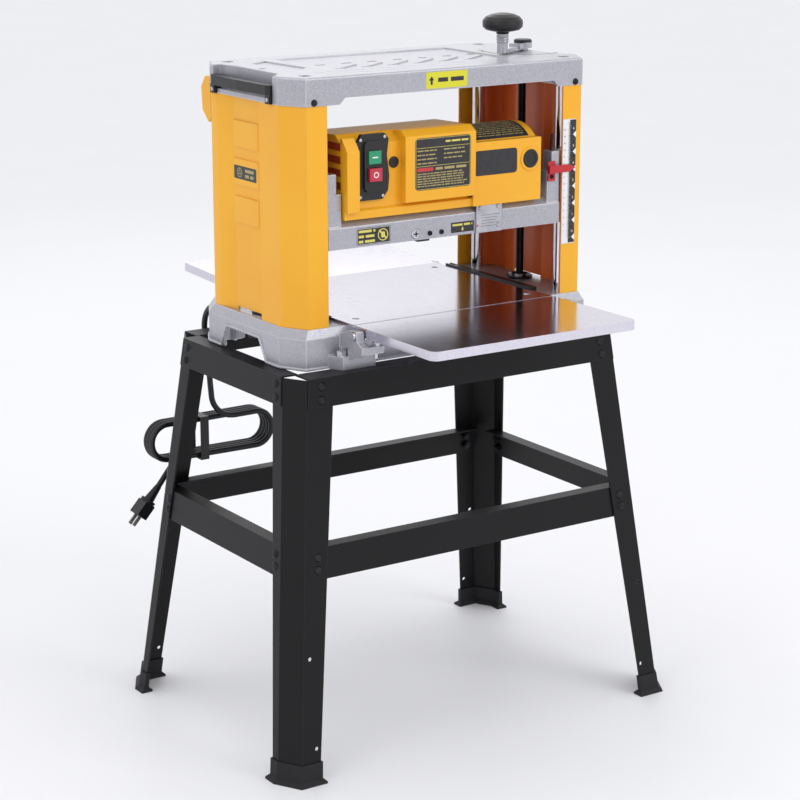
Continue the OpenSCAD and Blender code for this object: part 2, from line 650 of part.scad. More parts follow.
module motor_cover() color("#f2b21f") difference() {
    union() {
        along_x([cover_x[0], box_x[1]]) polygon(cowl_outline(0));
        cover_front();
        box([box_x[1] - 1, cover_x[1]], [end_front, -60], [cover_z, cover_z + 91]);
        intersection() {
            rod_x([box_x[1] - 1, cover_x[1]], motor_y, motor_z, motor_r);
            box([0, 200], [end_front, 200], [carriage_deck + 4, top_z]);
        }
    }
    along_x([cover_x[0] + 3, box_x[1] - 3]) polygon(cowl_outline(3));
    box([box_x[1] - 5, cover_x[1] - 3], [end_front + 3, -60], [carriage_deck + 3, cover_z + 88]);
    box([box_x[1] - 2, cover_x[1] + 1], [-109, 0], [cover_z - 10, carriage_deck + 4]);
    difference() {
        rod_x([box_x[1] - 5, cover_x[1] + 1], motor_y, motor_z, motor_r - 4);
        box([0, 200], [-200, 200], [base_z, carriage_deck + 4]);
        box([0, 200], [-200, end_front + 3], [base_z, top_z]);
    }
    box([box_x[1] - 5, cover_x[1] - 3], [-62, -20], [carriage_deck + 3, cover_z + 81]);
    for (z = [cover_z + 23:18:cover_z + 95]) box([cover_x[0] - 1, cover_x[0] + 4], [-122, -40], [z, z + 11]);
}

module motor() color("#1c1c1f") {
    rod_x([-40, cover_x[1] + 2], -72, motor_z + 13, 40);
    rod_x([cover_x[1] + 2, cover_x[1] + 11], motor_y + 2, motor_z + 11, 41);
    box([-30, 140], [-100, -44], [carriage_deck + 4, motor_z - 10]);
}

// Switch housing: a moulded plate with a well for each button
module switch_plate() color("#161618") difference() {
    translate(switch_pos) rotate([90, 0, 0]) {
        translate([0, 0, -6]) linear_extrude(6) polygon([[-26, 34], [-19, 46], [19, 46], [26, 38], [23, 16],
            [27, -14], [25, -34], [16, -46], [-22, -46], [-26, -36]]);
        linear_extrude(4) polygon([[-16, 32], [-12, 36], [12, 36], [16, 32], [16, -26], [10, -34],
            [-12, -34], [-16, -28]]);
    }
    for (z = button_z) translate(switch_pos + [0, 0, z]) box([-10.4, 10.4], [-5, 5.2], [-9.4, 9.4]);
}

module push_button(z, out) translate(switch_pos + [0, 0, z])
    box([-10, 10], [-out, 1.2], [-9, 9]);

module start_button() color("#2f9d66") push_button(button_z[0], 6);
module stop_button() color("#c4394b") push_button(button_z[1], 8.5);

module gauge_plate() color("#bdbdc3") {
    box([48, 93], [-133, -130], [beam_z, beam_z + 39.5]);
    for (p = [[54, 36], [86, 36], [86, 9]]) translate([p.x, -133, beam_z + p.y]) rotate([90, 0, 0])
        cylinder(r1 = 3.4, r2 = 2.6, h = 1.8);
}

module gauge_bar() color("#19191b") {
    box([-49, -29], [-126, -118], [beam_z - 3.5, beam_z + 10]);
}

module height_pointer() color("#c9252c") translate([0, 0, beam_z]) {
    box([178, 191], [-134.9, -128], [75, 86]);
    box([178, 191], [-130.5, -128], [63, 92]);
    translate([0, -133.3, 0]) rotate([90, 0, 0]) linear_extrude(1.6)
        polygon([[190, 75], [214, 75], [225, 80.5], [214, 86], [190, 86]]);
}

// ---- power cord ----

// Smooth path through points, k steps to each stretch (Catmull-Rom)
function path_point(a, b, c, d, t) = 0.5 * (2 * b + (c - a) * t + (2 * a - 5 * b + 4 * c - d) * t * t
    + (3 * b - a - 3 * c + d) * t * t * t);
function smooth(p, k) = let (n = len(p)) concat([for (i = [0:n - 2], j = [0:k - 1])
    path_point(p[max(i - 1, 0)], p[i], p[i + 1], p[min(i + 2, n - 1)], j / k)], [p[n - 1]]);
function unit(v) = v / norm(v);

// Tube of radius r along a path; side is a direction that the path never takes
module tube(path, r, side) {
    n = len(path);
    m = 10;
    rings = [for (i = [0:n - 1])
        let (t = unit(path[min(i + 1, n - 1)] - path[max(i - 1, 0)]), u = unit(cross(t, side)), v = cross(t, u))
        for (j = [0:m - 1]) path[i] + r * (cos(360 * j / m) * u + sin(360 * j / m) * v)];
    polyhedron(points = rings, faces = concat([[for (j = [0:m - 1]) m - 1 - j]],
        [[for (j = [0:m - 1]) (n - 1) * m + j]],
        [for (i = [0:n - 2], j = [0:m - 1])
            [i * m + j, i * m + (j + 1) % m, (i + 1) * m + (j + 1) % m, (i + 1) * m + j]]));
}

module cord_gland() color("#131315") translate(gland_pos) rotate([-90, 0, 0]) {
    cylinder(r = 11, h = 4);
    translate([0, 0, 4]) cylinder(r1 = 8.5, r2 = 6, h = 4);
}

module cord_lead() color("#17171a") translate([0, 0, base_z]) tube(smooth(cord_top, 3), cord_r, [1, 0, 0]);
module cord_tail() color("#17171a") translate([0, 0, base_z]) tube(smooth(cord_end, 3), cord_r, [0, 1, 0]);

// The wound cord's outer shape: a flat outline with round ends
module hank_outline(grow) let (r = (hank_z[1] - hank_z[0]) / 2) {
    for (x = [hank_x[0] + r, hank_x[1] - r]) translate([x, hank_z[0] + r]) circle(r + grow);
    translate([hank_x[0] + r, hank_z[0] - grow]) square([hank_x[1] - hank_x[0] - 2 * r, 2 * r + 2 * grow]);
}

module cord_hank() color("#17171a") translate([0, hank_y[1], 0]) rotate([90, 0, 0])
    linear_extrude(hank_y[1] - hank_y[0]) hank_outline(0);

module cord_tie() color("#0e0e10") difference() {
    box([-226, -212], [hank_y[0] - 2, hank_y[1] + 2], [hank_z[0] - 2, hank_z[1] + 2]);
    box([-227, -211], [hank_y[0] - 0.1, hank_y[1] + 0.1], [hank_z[0] - 0.1, hank_z[1] + 0.1]);
}

// Moulded plug with its tapered strain relief and two flat blades
module plug() translate(plug_pos) rotate([0, plug_tilt, 0]) {
    color("#141416") {
        cylinder(r1 = 5, r2 = 8, h = 26);
        translate([0, 0, 26]) cylinder(r = 12, h = 6);
        translate([-9, -13, 31]) cube([18, 26, 24]);
    }
    color("#c9c9cc") for (y = [-6.35, 6.35]) translate([-3.1, y - 0.75, 55]) cube([6.2, 1.5, 17]);
}

leg([-1, -1]);  // leg_fl
leg([1, -1]);  // leg_fr
leg([-1, 1]);  // leg_rl
leg([1, 1]);  // leg_rr
foot([-1, -1]);  // foot_fl
foot([1, -1]);  // foot_fr
foot([-1, 1]);  // foot_rl
foot([1, 1]);  // foot_rr
rail_front();
rail_rear();
rail_left();
rail_right();
brace_front();
brace_rear();
brace_left();
brace_right();
stand_bolts();
base_casting();
base_table();
side_strips();
base_bolts();
column([-1, -1]);  // column_fl
column([1, -1]);  // column_fr
column([-1, 1]);  // column_rl
column([1, 1]);  // column_rr
cover_left();
cover_right();
top_casting();
top_screws();
handle_left();
handle_right();
depth_scale();
drive_chain();
hinge_pins();
stop_screws();
infeed_table();
outfeed_table();
lead_screw_left();
lead_screw_right();
crank_arm();
crank_cap();
crank_knob();
carriage();
motor_cover();
motor();
switch_plate();
start_button();
stop_button();
cutterhead();
infeed_roller();
outfeed_roller();
gauge_plate();
gauge_bar();
height_pointer();
cord_gland();
cord_lead();
cord_hank();
cord_tie();
cord_tail();
plug();
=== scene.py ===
import json
import math
import bpy
import numpy as np
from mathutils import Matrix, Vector


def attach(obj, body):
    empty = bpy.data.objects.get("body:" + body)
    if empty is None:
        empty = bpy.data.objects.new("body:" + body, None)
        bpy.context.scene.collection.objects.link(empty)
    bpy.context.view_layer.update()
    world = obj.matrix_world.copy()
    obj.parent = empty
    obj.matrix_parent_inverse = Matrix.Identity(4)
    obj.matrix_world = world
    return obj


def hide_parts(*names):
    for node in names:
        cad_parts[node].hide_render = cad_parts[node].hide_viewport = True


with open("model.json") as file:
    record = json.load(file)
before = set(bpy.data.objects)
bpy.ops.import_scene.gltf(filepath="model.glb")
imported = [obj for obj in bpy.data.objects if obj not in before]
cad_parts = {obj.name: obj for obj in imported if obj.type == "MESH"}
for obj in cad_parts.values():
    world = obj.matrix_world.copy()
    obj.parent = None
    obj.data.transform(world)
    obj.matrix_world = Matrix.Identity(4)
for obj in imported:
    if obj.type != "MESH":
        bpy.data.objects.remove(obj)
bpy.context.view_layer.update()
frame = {"nodes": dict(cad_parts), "record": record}
nodes = frame["nodes"]
scene = bpy.context.scene
mm = 0.001  # lengths are in millimetres unless a note says metres; heights count from the floor
print("frame loaded,", len(nodes), "nodes")

# camera and light, in metres

cameraFacts = {"azimuth": -33.7, "elevation": 14.8, "distance": 3.3887,
               "target": (0.0105, 0.0085, 0.4546), "lens": 100.98, "sensor": 36, "farthest": 200}
lightFacts = {  # where it stands, the side of its square, its power in watts
    "keyLight": ((1.5, -3.0, 2.6), 1.8, 26),
    "leftLight": ((-3.2, -1.2, 1.9), 1.6, 6),
    "topLight": ((-0.3, 0.6, 3.6), 1.8, 6),
    "rearLight": ((1.6, 3.0, 2.4), 1.6, 8),
}
lightTarget = (0, 0, 0.7)
worldFacts = {"Color": (0.98, 0.985, 1.0, 1), "Strength": 0.97}


def makeCamera(f):
    # the camera stands at distance from the target, azimuth 0 looking along +Y
    a, e = math.radians(f["azimuth"]), math.radians(f["elevation"])
    back = Vector((math.sin(a) * math.cos(e), -math.cos(a) * math.cos(e), math.sin(e)))
    data = bpy.data.cameras.new("camera")
    data.lens, data.sensor_width, data.clip_end = f["lens"], f["sensor"], f["farthest"]
    made = bpy.data.objects.new("camera", data)
    scene.collection.objects.link(made)
    made.rotation_mode = "QUATERNION"
    made.rotation_quaternion = (-back).to_track_quat("-Z", "Y")
    made.location = Vector(f["target"]) + back * f["distance"]
    scene.camera = made


def makeLight(name, at, size, energy):
    data = bpy.data.lights.new(name, "AREA")
    data.size, data.energy = size, energy
    made = bpy.data.objects.new(name, data)
    scene.collection.objects.link(made)
    made.location = at
    made.rotation_euler = (Vector(lightTarget) - Vector(at)).to_track_quat("-Z", "Y").to_euler()


makeCamera(cameraFacts)
for name, (at, size, energy) in lightFacts.items():
    makeLight(name, at, size, energy)
world = bpy.data.worlds.new("studio")
scene.world = world
world.use_nodes = True
for key, value in worldFacts.items():
    world.node_tree.nodes["Background"].inputs[key].default_value = value
scene.view_settings.view_transform = "Standard"
scene.view_settings.look = "None"

# shared mesh functions; a part is (points, faces, ink), where the ink is the number of its material

smoothUpTo = 35  # degrees; a sharper bend keeps its edge


def gridPart(points, closeRows=False, ink=0):
    # rows x columns points joined by quads round each row, with a flat cap on the first and last row
    rows, columns = points.shape[:2]
    r = np.arange(rows if closeRows else rows - 1)[:, None]
    c = np.arange(columns)[None, :]
    r2, c2 = (r + 1) % rows, (c + 1) % columns
    quads = np.stack([r * columns + c, r * columns + c2, r2 * columns + c2, r2 * columns + c],
                     axis=-1).reshape(-1, 4).tolist()
    if not closeRows:
        quads.append(list(range(columns))[::-1])
        quads.append(list(range((rows - 1) * columns, rows * columns)))
    return points.reshape(-1, 3), quads, ink


def outward(verts, faces):
    # signed volume by fans: negative means the faces look inwards
    total = 0.0
    for face in faces:
        p = verts[face]
        total += (np.cross(p[1:-1], p[2:]) @ p[0]).sum()
    return faces if total >= 0 else [face[::-1] for face in faces]


def makePiece(name, parts, body, materials, smooth=True):
    # joins the parts into one mesh in metres and rides it on a body
    verts, faces, inks, start = [], [], [], 0
    for points, quads, ink in parts:
        verts.append(points)
        faces += [[i + start for i in face] for face in outward(points, quads)]
        inks += [ink] * len(quads)
        start += len(points)
    mesh = bpy.data.meshes.new(name)
    mesh.from_pydata((np.concatenate(verts) * mm).tolist(), [], faces)
    for material in materials:
        mesh.materials.append(material)
    mesh.polygons.foreach_set("material_index", np.array(inks, np.int32))
    if smooth:
        mesh.polygons.foreach_set("use_smooth", np.ones(len(faces), bool))
        mesh.set_sharp_from_angle(angle=math.radians(smoothUpTo))
    mesh.update()
    made = bpy.data.objects.new(name, mesh)
    scene.collection.objects.link(made)
    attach(made, body)
    return made


# a place is an origin and three directions; the third looks out of the surface
directions = {"front": [[1, 0, 0], [0, 0, 1], [0, -1, 0]], "rear": [[-1, 0, 0], [0, 0, 1], [0, 1, 0]],
              "left": [[0, -1, 0], [0, 0, 1], [-1, 0, 0]], "right": [[0, 1, 0], [0, 0, 1], [1, 0, 0]],
              "top": [[1, 0, 0], [0, 1, 0], [0, 0, 1]]}


def on(surface, x, y, z):
    return np.array([[x, y, z], *directions[surface]], float)


def onTurned(x, z, degrees):
    # on the top, with its first direction turned by degrees
    a = math.radians(degrees)
    return np.array([[x, 0, z], [math.cos(a), math.sin(a), 0], [-math.sin(a), math.cos(a), 0], [0, 0, 1]])


def placed(local, place):
    # local x, y, z along the place's three directions
    return place[0] + local @ place[1:]


def lathePart(profile, place, count=32):
    # radius r and height h of the profile, turned round the place's third direction
    profile = np.array(profile, float)
    a = np.linspace(0, 2 * np.pi, count, endpoint=False)
    local = np.stack([profile[:, :1] * np.cos(a), profile[:, :1] * np.sin(a),
                      np.broadcast_to(profile[:, 1:], (len(profile), count))], axis=-1)
    return gridPart(placed(local, place))


def insetOutline(outline, inset):
    # each corner moves inwards along its bisector, so every side moves in by inset
    a = outline - np.roll(outline, 1, axis=0)
    b = np.roll(outline, -1, axis=0) - outline
    n1 = np.stack([-a[:, 1], a[:, 0]], 1) / np.linalg.norm(a, axis=1)[:, None]
    n2 = np.stack([-b[:, 1], b[:, 0]], 1) / np.linalg.norm(b, axis=1)[:, None]
    return outline + inset * (n1 + n2) / (1 + (n1 * n2).sum(1))[:, None]


def slabPart(outline, layers, place, ink=0):
    # the outline, counter-clockwise, at each (inset, height) layer
    outline = np.array(outline, float)
    rows = [np.column_stack([insetOutline(outline, i), np.full(len(outline), h)]) for i, h in layers]
    return gridPart(placed(np.array(rows), place), ink=ink)


def roundBox(w, h, r):
    # rectangle w x h about the origin, each corner a quarter circle of radius r in four steps
    a = np.linspace(0, np.pi / 2, 5)[None, :] + np.arange(4)[:, None] * np.pi / 2
    x = np.array([1, -1, -1, 1])[:, None] * (w / 2 - r) + r * np.cos(a)
    y = np.array([1, 1, -1, -1])[:, None] * (h / 2 - r) + r * np.sin(a)
    return np.column_stack([x.ravel(), y.ravel()])


def barBox(x0, y0, x1, y1):
    return np.array([[x0, y0], [x1, y0], [x1, y1], [x0, y1]], float)


def washerPart(radii, heights, place, angles, closed):
    # a washer's four-cornered section, carried round the place's third direction through the angles
    (r0, r1), (low, high) = radii, heights
    section = np.array([[r0, low], [r1, low], [r1, high], [r0, high]], float)
    local = np.stack([np.outer(np.cos(angles), section[:, 0]), np.outer(np.sin(angles), section[:, 0]),
                      np.broadcast_to(section[:, 1], (len(angles), 4))], axis=-1)
    return gridPart(placed(local, place), closeRows=closed)


def ringPart(radii, heights, place, count=40):
    return washerPart(radii, heights, place, np.linspace(0, 2 * np.pi, count, endpoint=False), True)


def ringArcPart(radii, heights, place, start, end, count):
    return washerPart(radii, heights, place, np.radians(np.linspace(start, end, count)), False)


def neighbours(path, closed=False):
    # for each point the next one and the one before; an open path repeats its ends
    ahead, behind = np.roll(path, -1, 0), np.roll(path, 1, 0)
    if not closed:
        ahead[-1], behind[0] = path[-1], path[0]
    return ahead, behind


def tubePart(path, radius, sides, closed):
    # a circle carried along the path, square to its tangent, with the least possible twist
    ahead, behind = neighbours(path, closed)
    t = (ahead - behind) / np.linalg.norm(ahead - behind, axis=1)[:, None]
    side = np.cross(t[0], [0.31, 0.22, 0.93])  # no path starts along this direction
    frames = []
    for d in t:
        side = side - d * (side @ d)
        side = side / np.linalg.norm(side)
        frames.append(side)
    u = np.array(frames)[:, None]
    v = np.cross(t, u[:, 0])[:, None]
    a = np.linspace(0, 2 * np.pi, sides, endpoint=False)[None, :, None]
    return gridPart(path[:, None] + radius * (np.cos(a) * u + np.sin(a) * v), closeRows=closed)


def denser(points, step, closed):
    # points every step millimetres along the straight stretches
    points = np.array(points, float)
    stretches = []
    for p, q in zip(points, np.roll(points, -1, 0) if closed else points[1:]):
        count = max(2, int(np.linalg.norm(q - p) / step) + 1)
        stretches.append(p + (q - p) * np.linspace(0, 1, count)[:-1, None])
    return np.concatenate(stretches)


def arcPoints(centre, r, start, end, count, axes):
    # points round a circle in the plane of two axes, degrees
    a = np.radians(np.linspace(start, end, count))[:, None]
    return np.array(centre, float) + r * (np.cos(a) * np.array(axes[0]) + np.sin(a) * np.array(axes[1]))


# shared material functions


def linear(hexColour):
    # sRGB hex to the linear colour that a shader takes
    c = np.array([int(hexColour[i:i + 2], 16) for i in (1, 3, 5)]) / 255
    return (*np.where(c <= 0.04045, c / 12.92, ((c + 0.055) / 1.055) ** 2.4).tolist(), 1.0)


def lighter(hexColour, share):
    c = [int(hexColour[i:i + 2], 16) for i in (1, 3, 5)]
    return "#" + "".join(f"{round(v + (255 - v) * share):02X}" for v in c)


def feed(tree, node, inputs):
    # an input takes a number, a colour as sRGB hex, or the socket that drives it
    for key, value in inputs.items():
        if isinstance(value, bpy.types.NodeSocket):
            tree.links.new(value, node.inputs[key])
        else:
            node.inputs[key].default_value = linear(value) if isinstance(value, str) else value


def add(tree, kind, inputs, **settings):
    # one shader node, fed and set; gives its outputs
    made = tree.nodes.new("ShaderNode" + kind)
    for key, value in settings.items():
        setattr(made, key, value)
    feed(tree, made, inputs)
    return made.outputs


def startMaterial(name, inputs):
    # the material, its tree and shader, and the object's own coordinates in metres
    made = bpy.data.materials.new(name)
    made.use_nodes = True
    tree = made.node_tree
    shader = tree.nodes["Principled BSDF"]
    feed(tree, shader, inputs)
    return made, tree, shader, add(tree, "TexCoord", {})["Object"]


def edgeMask(tree, rounded, low=0.02, high=0.2):
    # 1 on an edge, 0 on a flat: how far the rounded normal leans from the face's own; it sets where a painted
    #                            highlight goes
    own = add(tree, "NewGeometry", {})["Normal"]
    dot = add(tree, "VectorMath", {0: rounded, 1: own}, operation="DOT_PRODUCT")["Value"]
    return add(tree, "MapRange", {0: dot, 1: 1 - low, 2: 1 - high})[0]


def grain(tree, place, size, detail, roughness=0.55, stretch=None):
    # noise whose features are about size millimetres across
    if stretch:
        place = add(tree, "Mapping", {"Scale": stretch, "Vector": place})[0]
    return add(tree, "TexNoise", {"Scale": 1 / (size * mm), "Detail": detail, "Roughness": roughness,
                                  "Vector": place})["Fac"]


def dress(tree, shader, colour, fine, rough, depth, strength, normal):
    # the end that materials share: the roughness range and the relief both follow one fine grain
    bump = add(tree, "Bump", {"Strength": strength, "Distance": depth * mm, "Height": fine,
                              "Normal": normal})[0]
    gloss = add(tree, "MapRange", {0: fine, 1: 0.3, 2: 0.7, 3: rough[0], 4: rough[1]})[0]
    feed(tree, shader, {"Base Color": colour, "Roughness": gloss, "Normal": bump})


def mouldedPlastic(name, base, tone, rough, texture=0.5, edge=0.8, depth=0.03):
    # ABS from a spark-eroded mould: an even fine grain breaks up the gloss; the edges are painted a little
    # lighter, a painted highlight
    made, tree, shader, place = startMaterial(name, {"IOR": 1.53, "Specular IOR Level": 0.5})
    rounded = add(tree, "Bevel", {"Radius": edge * mm}, samples=4)[0]
    wide = add(tree, "MapRange", {0: grain(tree, place, 140, 2), 1: 0.35, 2: 0.65})[0]
    colour = add(tree, "MixRGB", {0: wide, 1: base, 2: tone})[0]
    # painted highlight: the edges are painted a little lighter
    colour = add(tree, "MixRGB", {0: edgeMask(tree, rounded), 1: colour, 2: lighter(base, 0.22)})[0]
    fine = grain(tree, place, texture, 2)
    dress(tree, shader, colour, fine, (rough - 0.05, rough + 0.07), depth, 0.5, rounded)
    return made


def yellowAbs():
    # injection-moulded ABS, golden yellow; where the wall looks inwards the colour is painted orange, painted
    # shade and bounce light standing for light that goes from yellow to yellow: there x times the normal's x
    # is negative
    made, tree, shader, place = startMaterial("mouldedAbsYellow", {"IOR": 1.53})
    rounded = add(tree, "Bevel", {"Radius": 1.4 * mm}, samples=4)[0]
    wide = add(tree, "MapRange", {0: grain(tree, place, 160, 2), 1: 0.35, 2: 0.65})[0]
    colour = add(tree, "MixRGB", {0: wide, 1: "#F3B11D", 2: "#F0AB17"})[0]
    x = add(tree, "SeparateXYZ", {0: place})["X"]
    normalX = add(tree, "SeparateXYZ", {0: add(tree, "NewGeometry", {})["Normal"]})["X"]
    across = add(tree, "Math", {0: x, 1: normalX}, operation="MULTIPLY")[0]
    inward = add(tree, "MapRange", {0: across, 1: -0.05, 2: -0.2})[0]
    aside = add(tree, "Math", {0: x}, operation="ABSOLUTE")[0]
    cover = add(tree, "MapRange", {0: aside, 1: 0.2, 2: 0.202})[0]
    insideShadeMask = add(tree, "Math", {0: inward, 1: cover}, operation="MULTIPLY")[0]
    # painted shade and bounce light: the cover's inward faces are painted orange
    colour = add(tree, "MixRGB", {0: insideShadeMask, 1: colour, 2: "#EC6A2A"})[0]
    # painted highlight: the edges are painted a lighter yellow
    colour = add(tree, "MixRGB", {0: edgeMask(tree, rounded), 1: colour, 2: "#F9C94F"})[0]
    dress(tree, shader, colour, grain(tree, place, 0.7, 2), (0.33, 0.43), 0.03, 0.4, rounded)
    return made


def silverPaint():
    # cast aluminium under metallic hammered paint: bright and dark flakes about a millimetre across
    # on a softly dimpled ground; the edges are painted bright, a painted highlight
    made, tree, shader, place = startMaterial("castAluminiumHammered", {
        "Metallic": 0.4, "Coat Weight": 0.25, "Coat Roughness": 0.18})
    rounded = add(tree, "Bevel", {"Radius": 2.4 * mm}, samples=4)[0]
    flake = add(tree, "TexVoronoi", {"Scale": 1 / (0.9 * mm), "Vector": place})["Color"]
    fleck = add(tree, "SeparateColor", {0: flake})[0]
    colour = add(tree, "MixRGB", {0: fleck, 1: "#9A9AA2", 2: "#BCBCC4"})[0]
    wide = add(tree, "MapRange", {0: grain(tree, place, 90, 2), 1: 0.3, 2: 0.7, 3: 0.0, 4: 0.25})[0]
    colour = add(tree, "MixRGB", {0: wide, 1: colour, 2: "#B7B7C0"})[0]
    # painted highlight: the edges are painted near white
    colour = add(tree, "MixRGB", {0: edgeMask(tree, rounded, 0.01, 0.14), 1: colour, 2: "#ECECF2"})[0]
    dress(tree, shader, colour, grain(tree, place, 1.6, 2), (0.27, 0.42), 0.06, 0.3, rounded)
    return made


def standPaint():
    # black powder coat on pressed steel: semi-gloss with a faint orange peel of about 2 mm
    made, tree, shader, place = startMaterial("powderCoatedSteelBlack", {"IOR": 1.32})
    rounded = add(tree, "Bevel", {"Radius": 1.2 * mm}, samples=4)[0]
    colour = add(tree, "MixRGB", {0: grain(tree, place, 70, 3), 1: "#0C0C0E", 2: "#111113"})[0]
    # painted highlight: the edges are painted a lighter grey
    colour = add(tree, "MixRGB", {0: edgeMask(tree, rounded), 1: colour, 2: "#3A3A40"})[0]
    dress(tree, shader, colour, grain(tree, place, 2.0, 2), (0.34, 0.45), 0.05, 0.3, rounded)
    return made


def metalSurface(name, base, tone, rough, lines=None, size=8.0, edge=0.5, depth=0.01, spread=0.06):
    # bare or plated metal: soft mottling, and fine lines where a tool or belt has run
    made, tree, shader, place = startMaterial(name, {"Metallic": 1.0})
    rounded = add(tree, "Bevel", {"Radius": edge * mm}, samples=4)[0]
    wide = add(tree, "MapRange", {0: grain(tree, place, size * 4, 3), 1: 0.3, 2: 0.7})[0]
    colour = add(tree, "MixRGB", {0: wide, 1: base, 2: tone})[0]
    marks = grain(tree, place, size, 4, 0.6, lines)
    dress(tree, shader, colour, marks, (rough - spread / 2, rough + spread), depth, 0.25, rounded)
    return made


def rubberSkin(name, base, tone, rough=0.62, texture=0.8, specular=0.35):
    # moulded rubber or soft PVC: dark, matt, with a slightly uneven bloom
    made, tree, shader, place = startMaterial(name, {"Specular IOR Level": specular})
    rounded = add(tree, "Bevel", {"Radius": 0.8 * mm}, samples=4)[0]
    colour = add(tree, "MixRGB", {0: grain(tree, place, 25, 4), 1: base, 2: tone})[0]
    fine = grain(tree, place, texture, 3)
    dress(tree, shader, colour, fine, (rough - 0.06, rough + 0.08), 0.04, 0.4, rounded)
    return made


def printedFilm(name, colour, rough=0.35):
    # screen-printed polyester film: flat colour with a faint unevenness in its gloss
    made, tree, shader, place = startMaterial(name, {"IOR": 1.5})
    film = grain(tree, place, 6, 2)
    own = add(tree, "NewGeometry", {})["Normal"]
    shade = add(tree, "MixRGB", {0: film, 1: colour, 2: lighter(colour, 0.06)})[0]
    dress(tree, shader, shade, film, (rough - 0.06, rough + 0.06), 0.01, 0.2, own)
    return made


def plugMaterial(f):
    # moulded PVC plug with nickel-plated brass blades, which begin some way along the plug's own axis
    made, tree, shader, place = startMaterial("mouldedPvcPlug", {"Specular IOR Level": 0.4})
    along = add(tree, "VectorMath", {0: place, 1: f["axis"]}, operation="DOT_PRODUCT")["Value"]
    start = sum(a * b for a, b in zip(f["start"], f["axis"])) + f["moulded"]
    blade = add(tree, "MapRange", {0: along, 1: start, 2: start + f["blend"]})[0]
    colour = add(tree, "MixRGB", {0: blade, 1: "#17171A", 2: "#C9C8C4"})[0]
    rounded = add(tree, "Bevel", {"Radius": 1.2 * mm}, samples=4)[0]
    dress(tree, shader, colour, grain(tree, place, 0.7, 3), (0.3, 0.45), 0.02, 0.3, rounded)
    feed(tree, shader, {"Metallic": blade})
    return made


def knobMaterial(f):
    # phenolic ball on a bright steel stem: two finishes, (colour, metallic, roughness), meet at a height
    made, tree, shader, place = startMaterial("knobPhenolicOnSteel", {})
    z = add(tree, "SeparateXYZ", {0: place})["Z"]
    upper = add(tree, "MapRange", {0: z, 1: f["seam"], 2: f["seam"] + f["blend"]})[0]
    (stemColour, stemMetal, stemRough), (ballColour, ballMetal, ballRough) = f["stem"], f["ball"]
    colour = add(tree, "MixRGB", {0: upper, 1: stemColour, 2: ballColour})[0]
    metal = add(tree, "MapRange", {0: upper, 3: stemMetal, 4: ballMetal})[0]
    fine = grain(tree, place, 1.2, 3)
    rough = add(tree, "MapRange", {0: upper, 3: stemRough, 4: ballRough})[0]
    wear = add(tree, "MapRange", {0: fine, 1: 0.3, 2: 0.7, 3: -0.03, 4: 0.05})[0]
    worn = add(tree, "Math", {0: rough, 1: wear}, operation="ADD")[0]
    rounded = add(tree, "Bevel", {"Radius": 0.9 * mm}, samples=4)[0]
    bump = add(tree, "Bump", {"Strength": 0.25, "Distance": 0.02 * mm, "Height": fine,
                              "Normal": rounded})[0]
    feed(tree, shader, {"Base Color": colour, "Metallic": metal, "Roughness": worn, "Normal": bump})
    return made


# in metres: where the cord ends and how far the moulding runs from there; the height of the knob's seam
plugFacts = {"axis": (-0.66913, 0, -0.74314), "start": (-0.284, 0.236, 0.311), "moulded": 0.0551,
             "blend": 0.0004}
knobFacts = {"seam": 0.9976, "blend": 0.0004, "stem": ("#D2D3D8", 1.0, 0.16), "ball": ("#0E0E10", 0.0, 0.34)}
tableLines = (1, 0.012, 1)  # belt-polished along the feed: lines 0.9 mm apart and some 75 mm long
drawnLines = (1, 1, 0.02)   # polished along the column
turnedLines = (0.03, 1, 1)  # ground along the cutterhead

ironSteel = metalSurface("blackOxideSteel", "#3A3A3F", "#2A2A2E", 0.32, None, 3)
zincSteel = metalSurface("zincPlatedSteel", "#CFD1D6", "#B9BBC2", 0.24, None, 4)
blackAbs = mouldedPlastic("mouldedAbsBlack", "#0C0C0D", "#101012", 0.4)
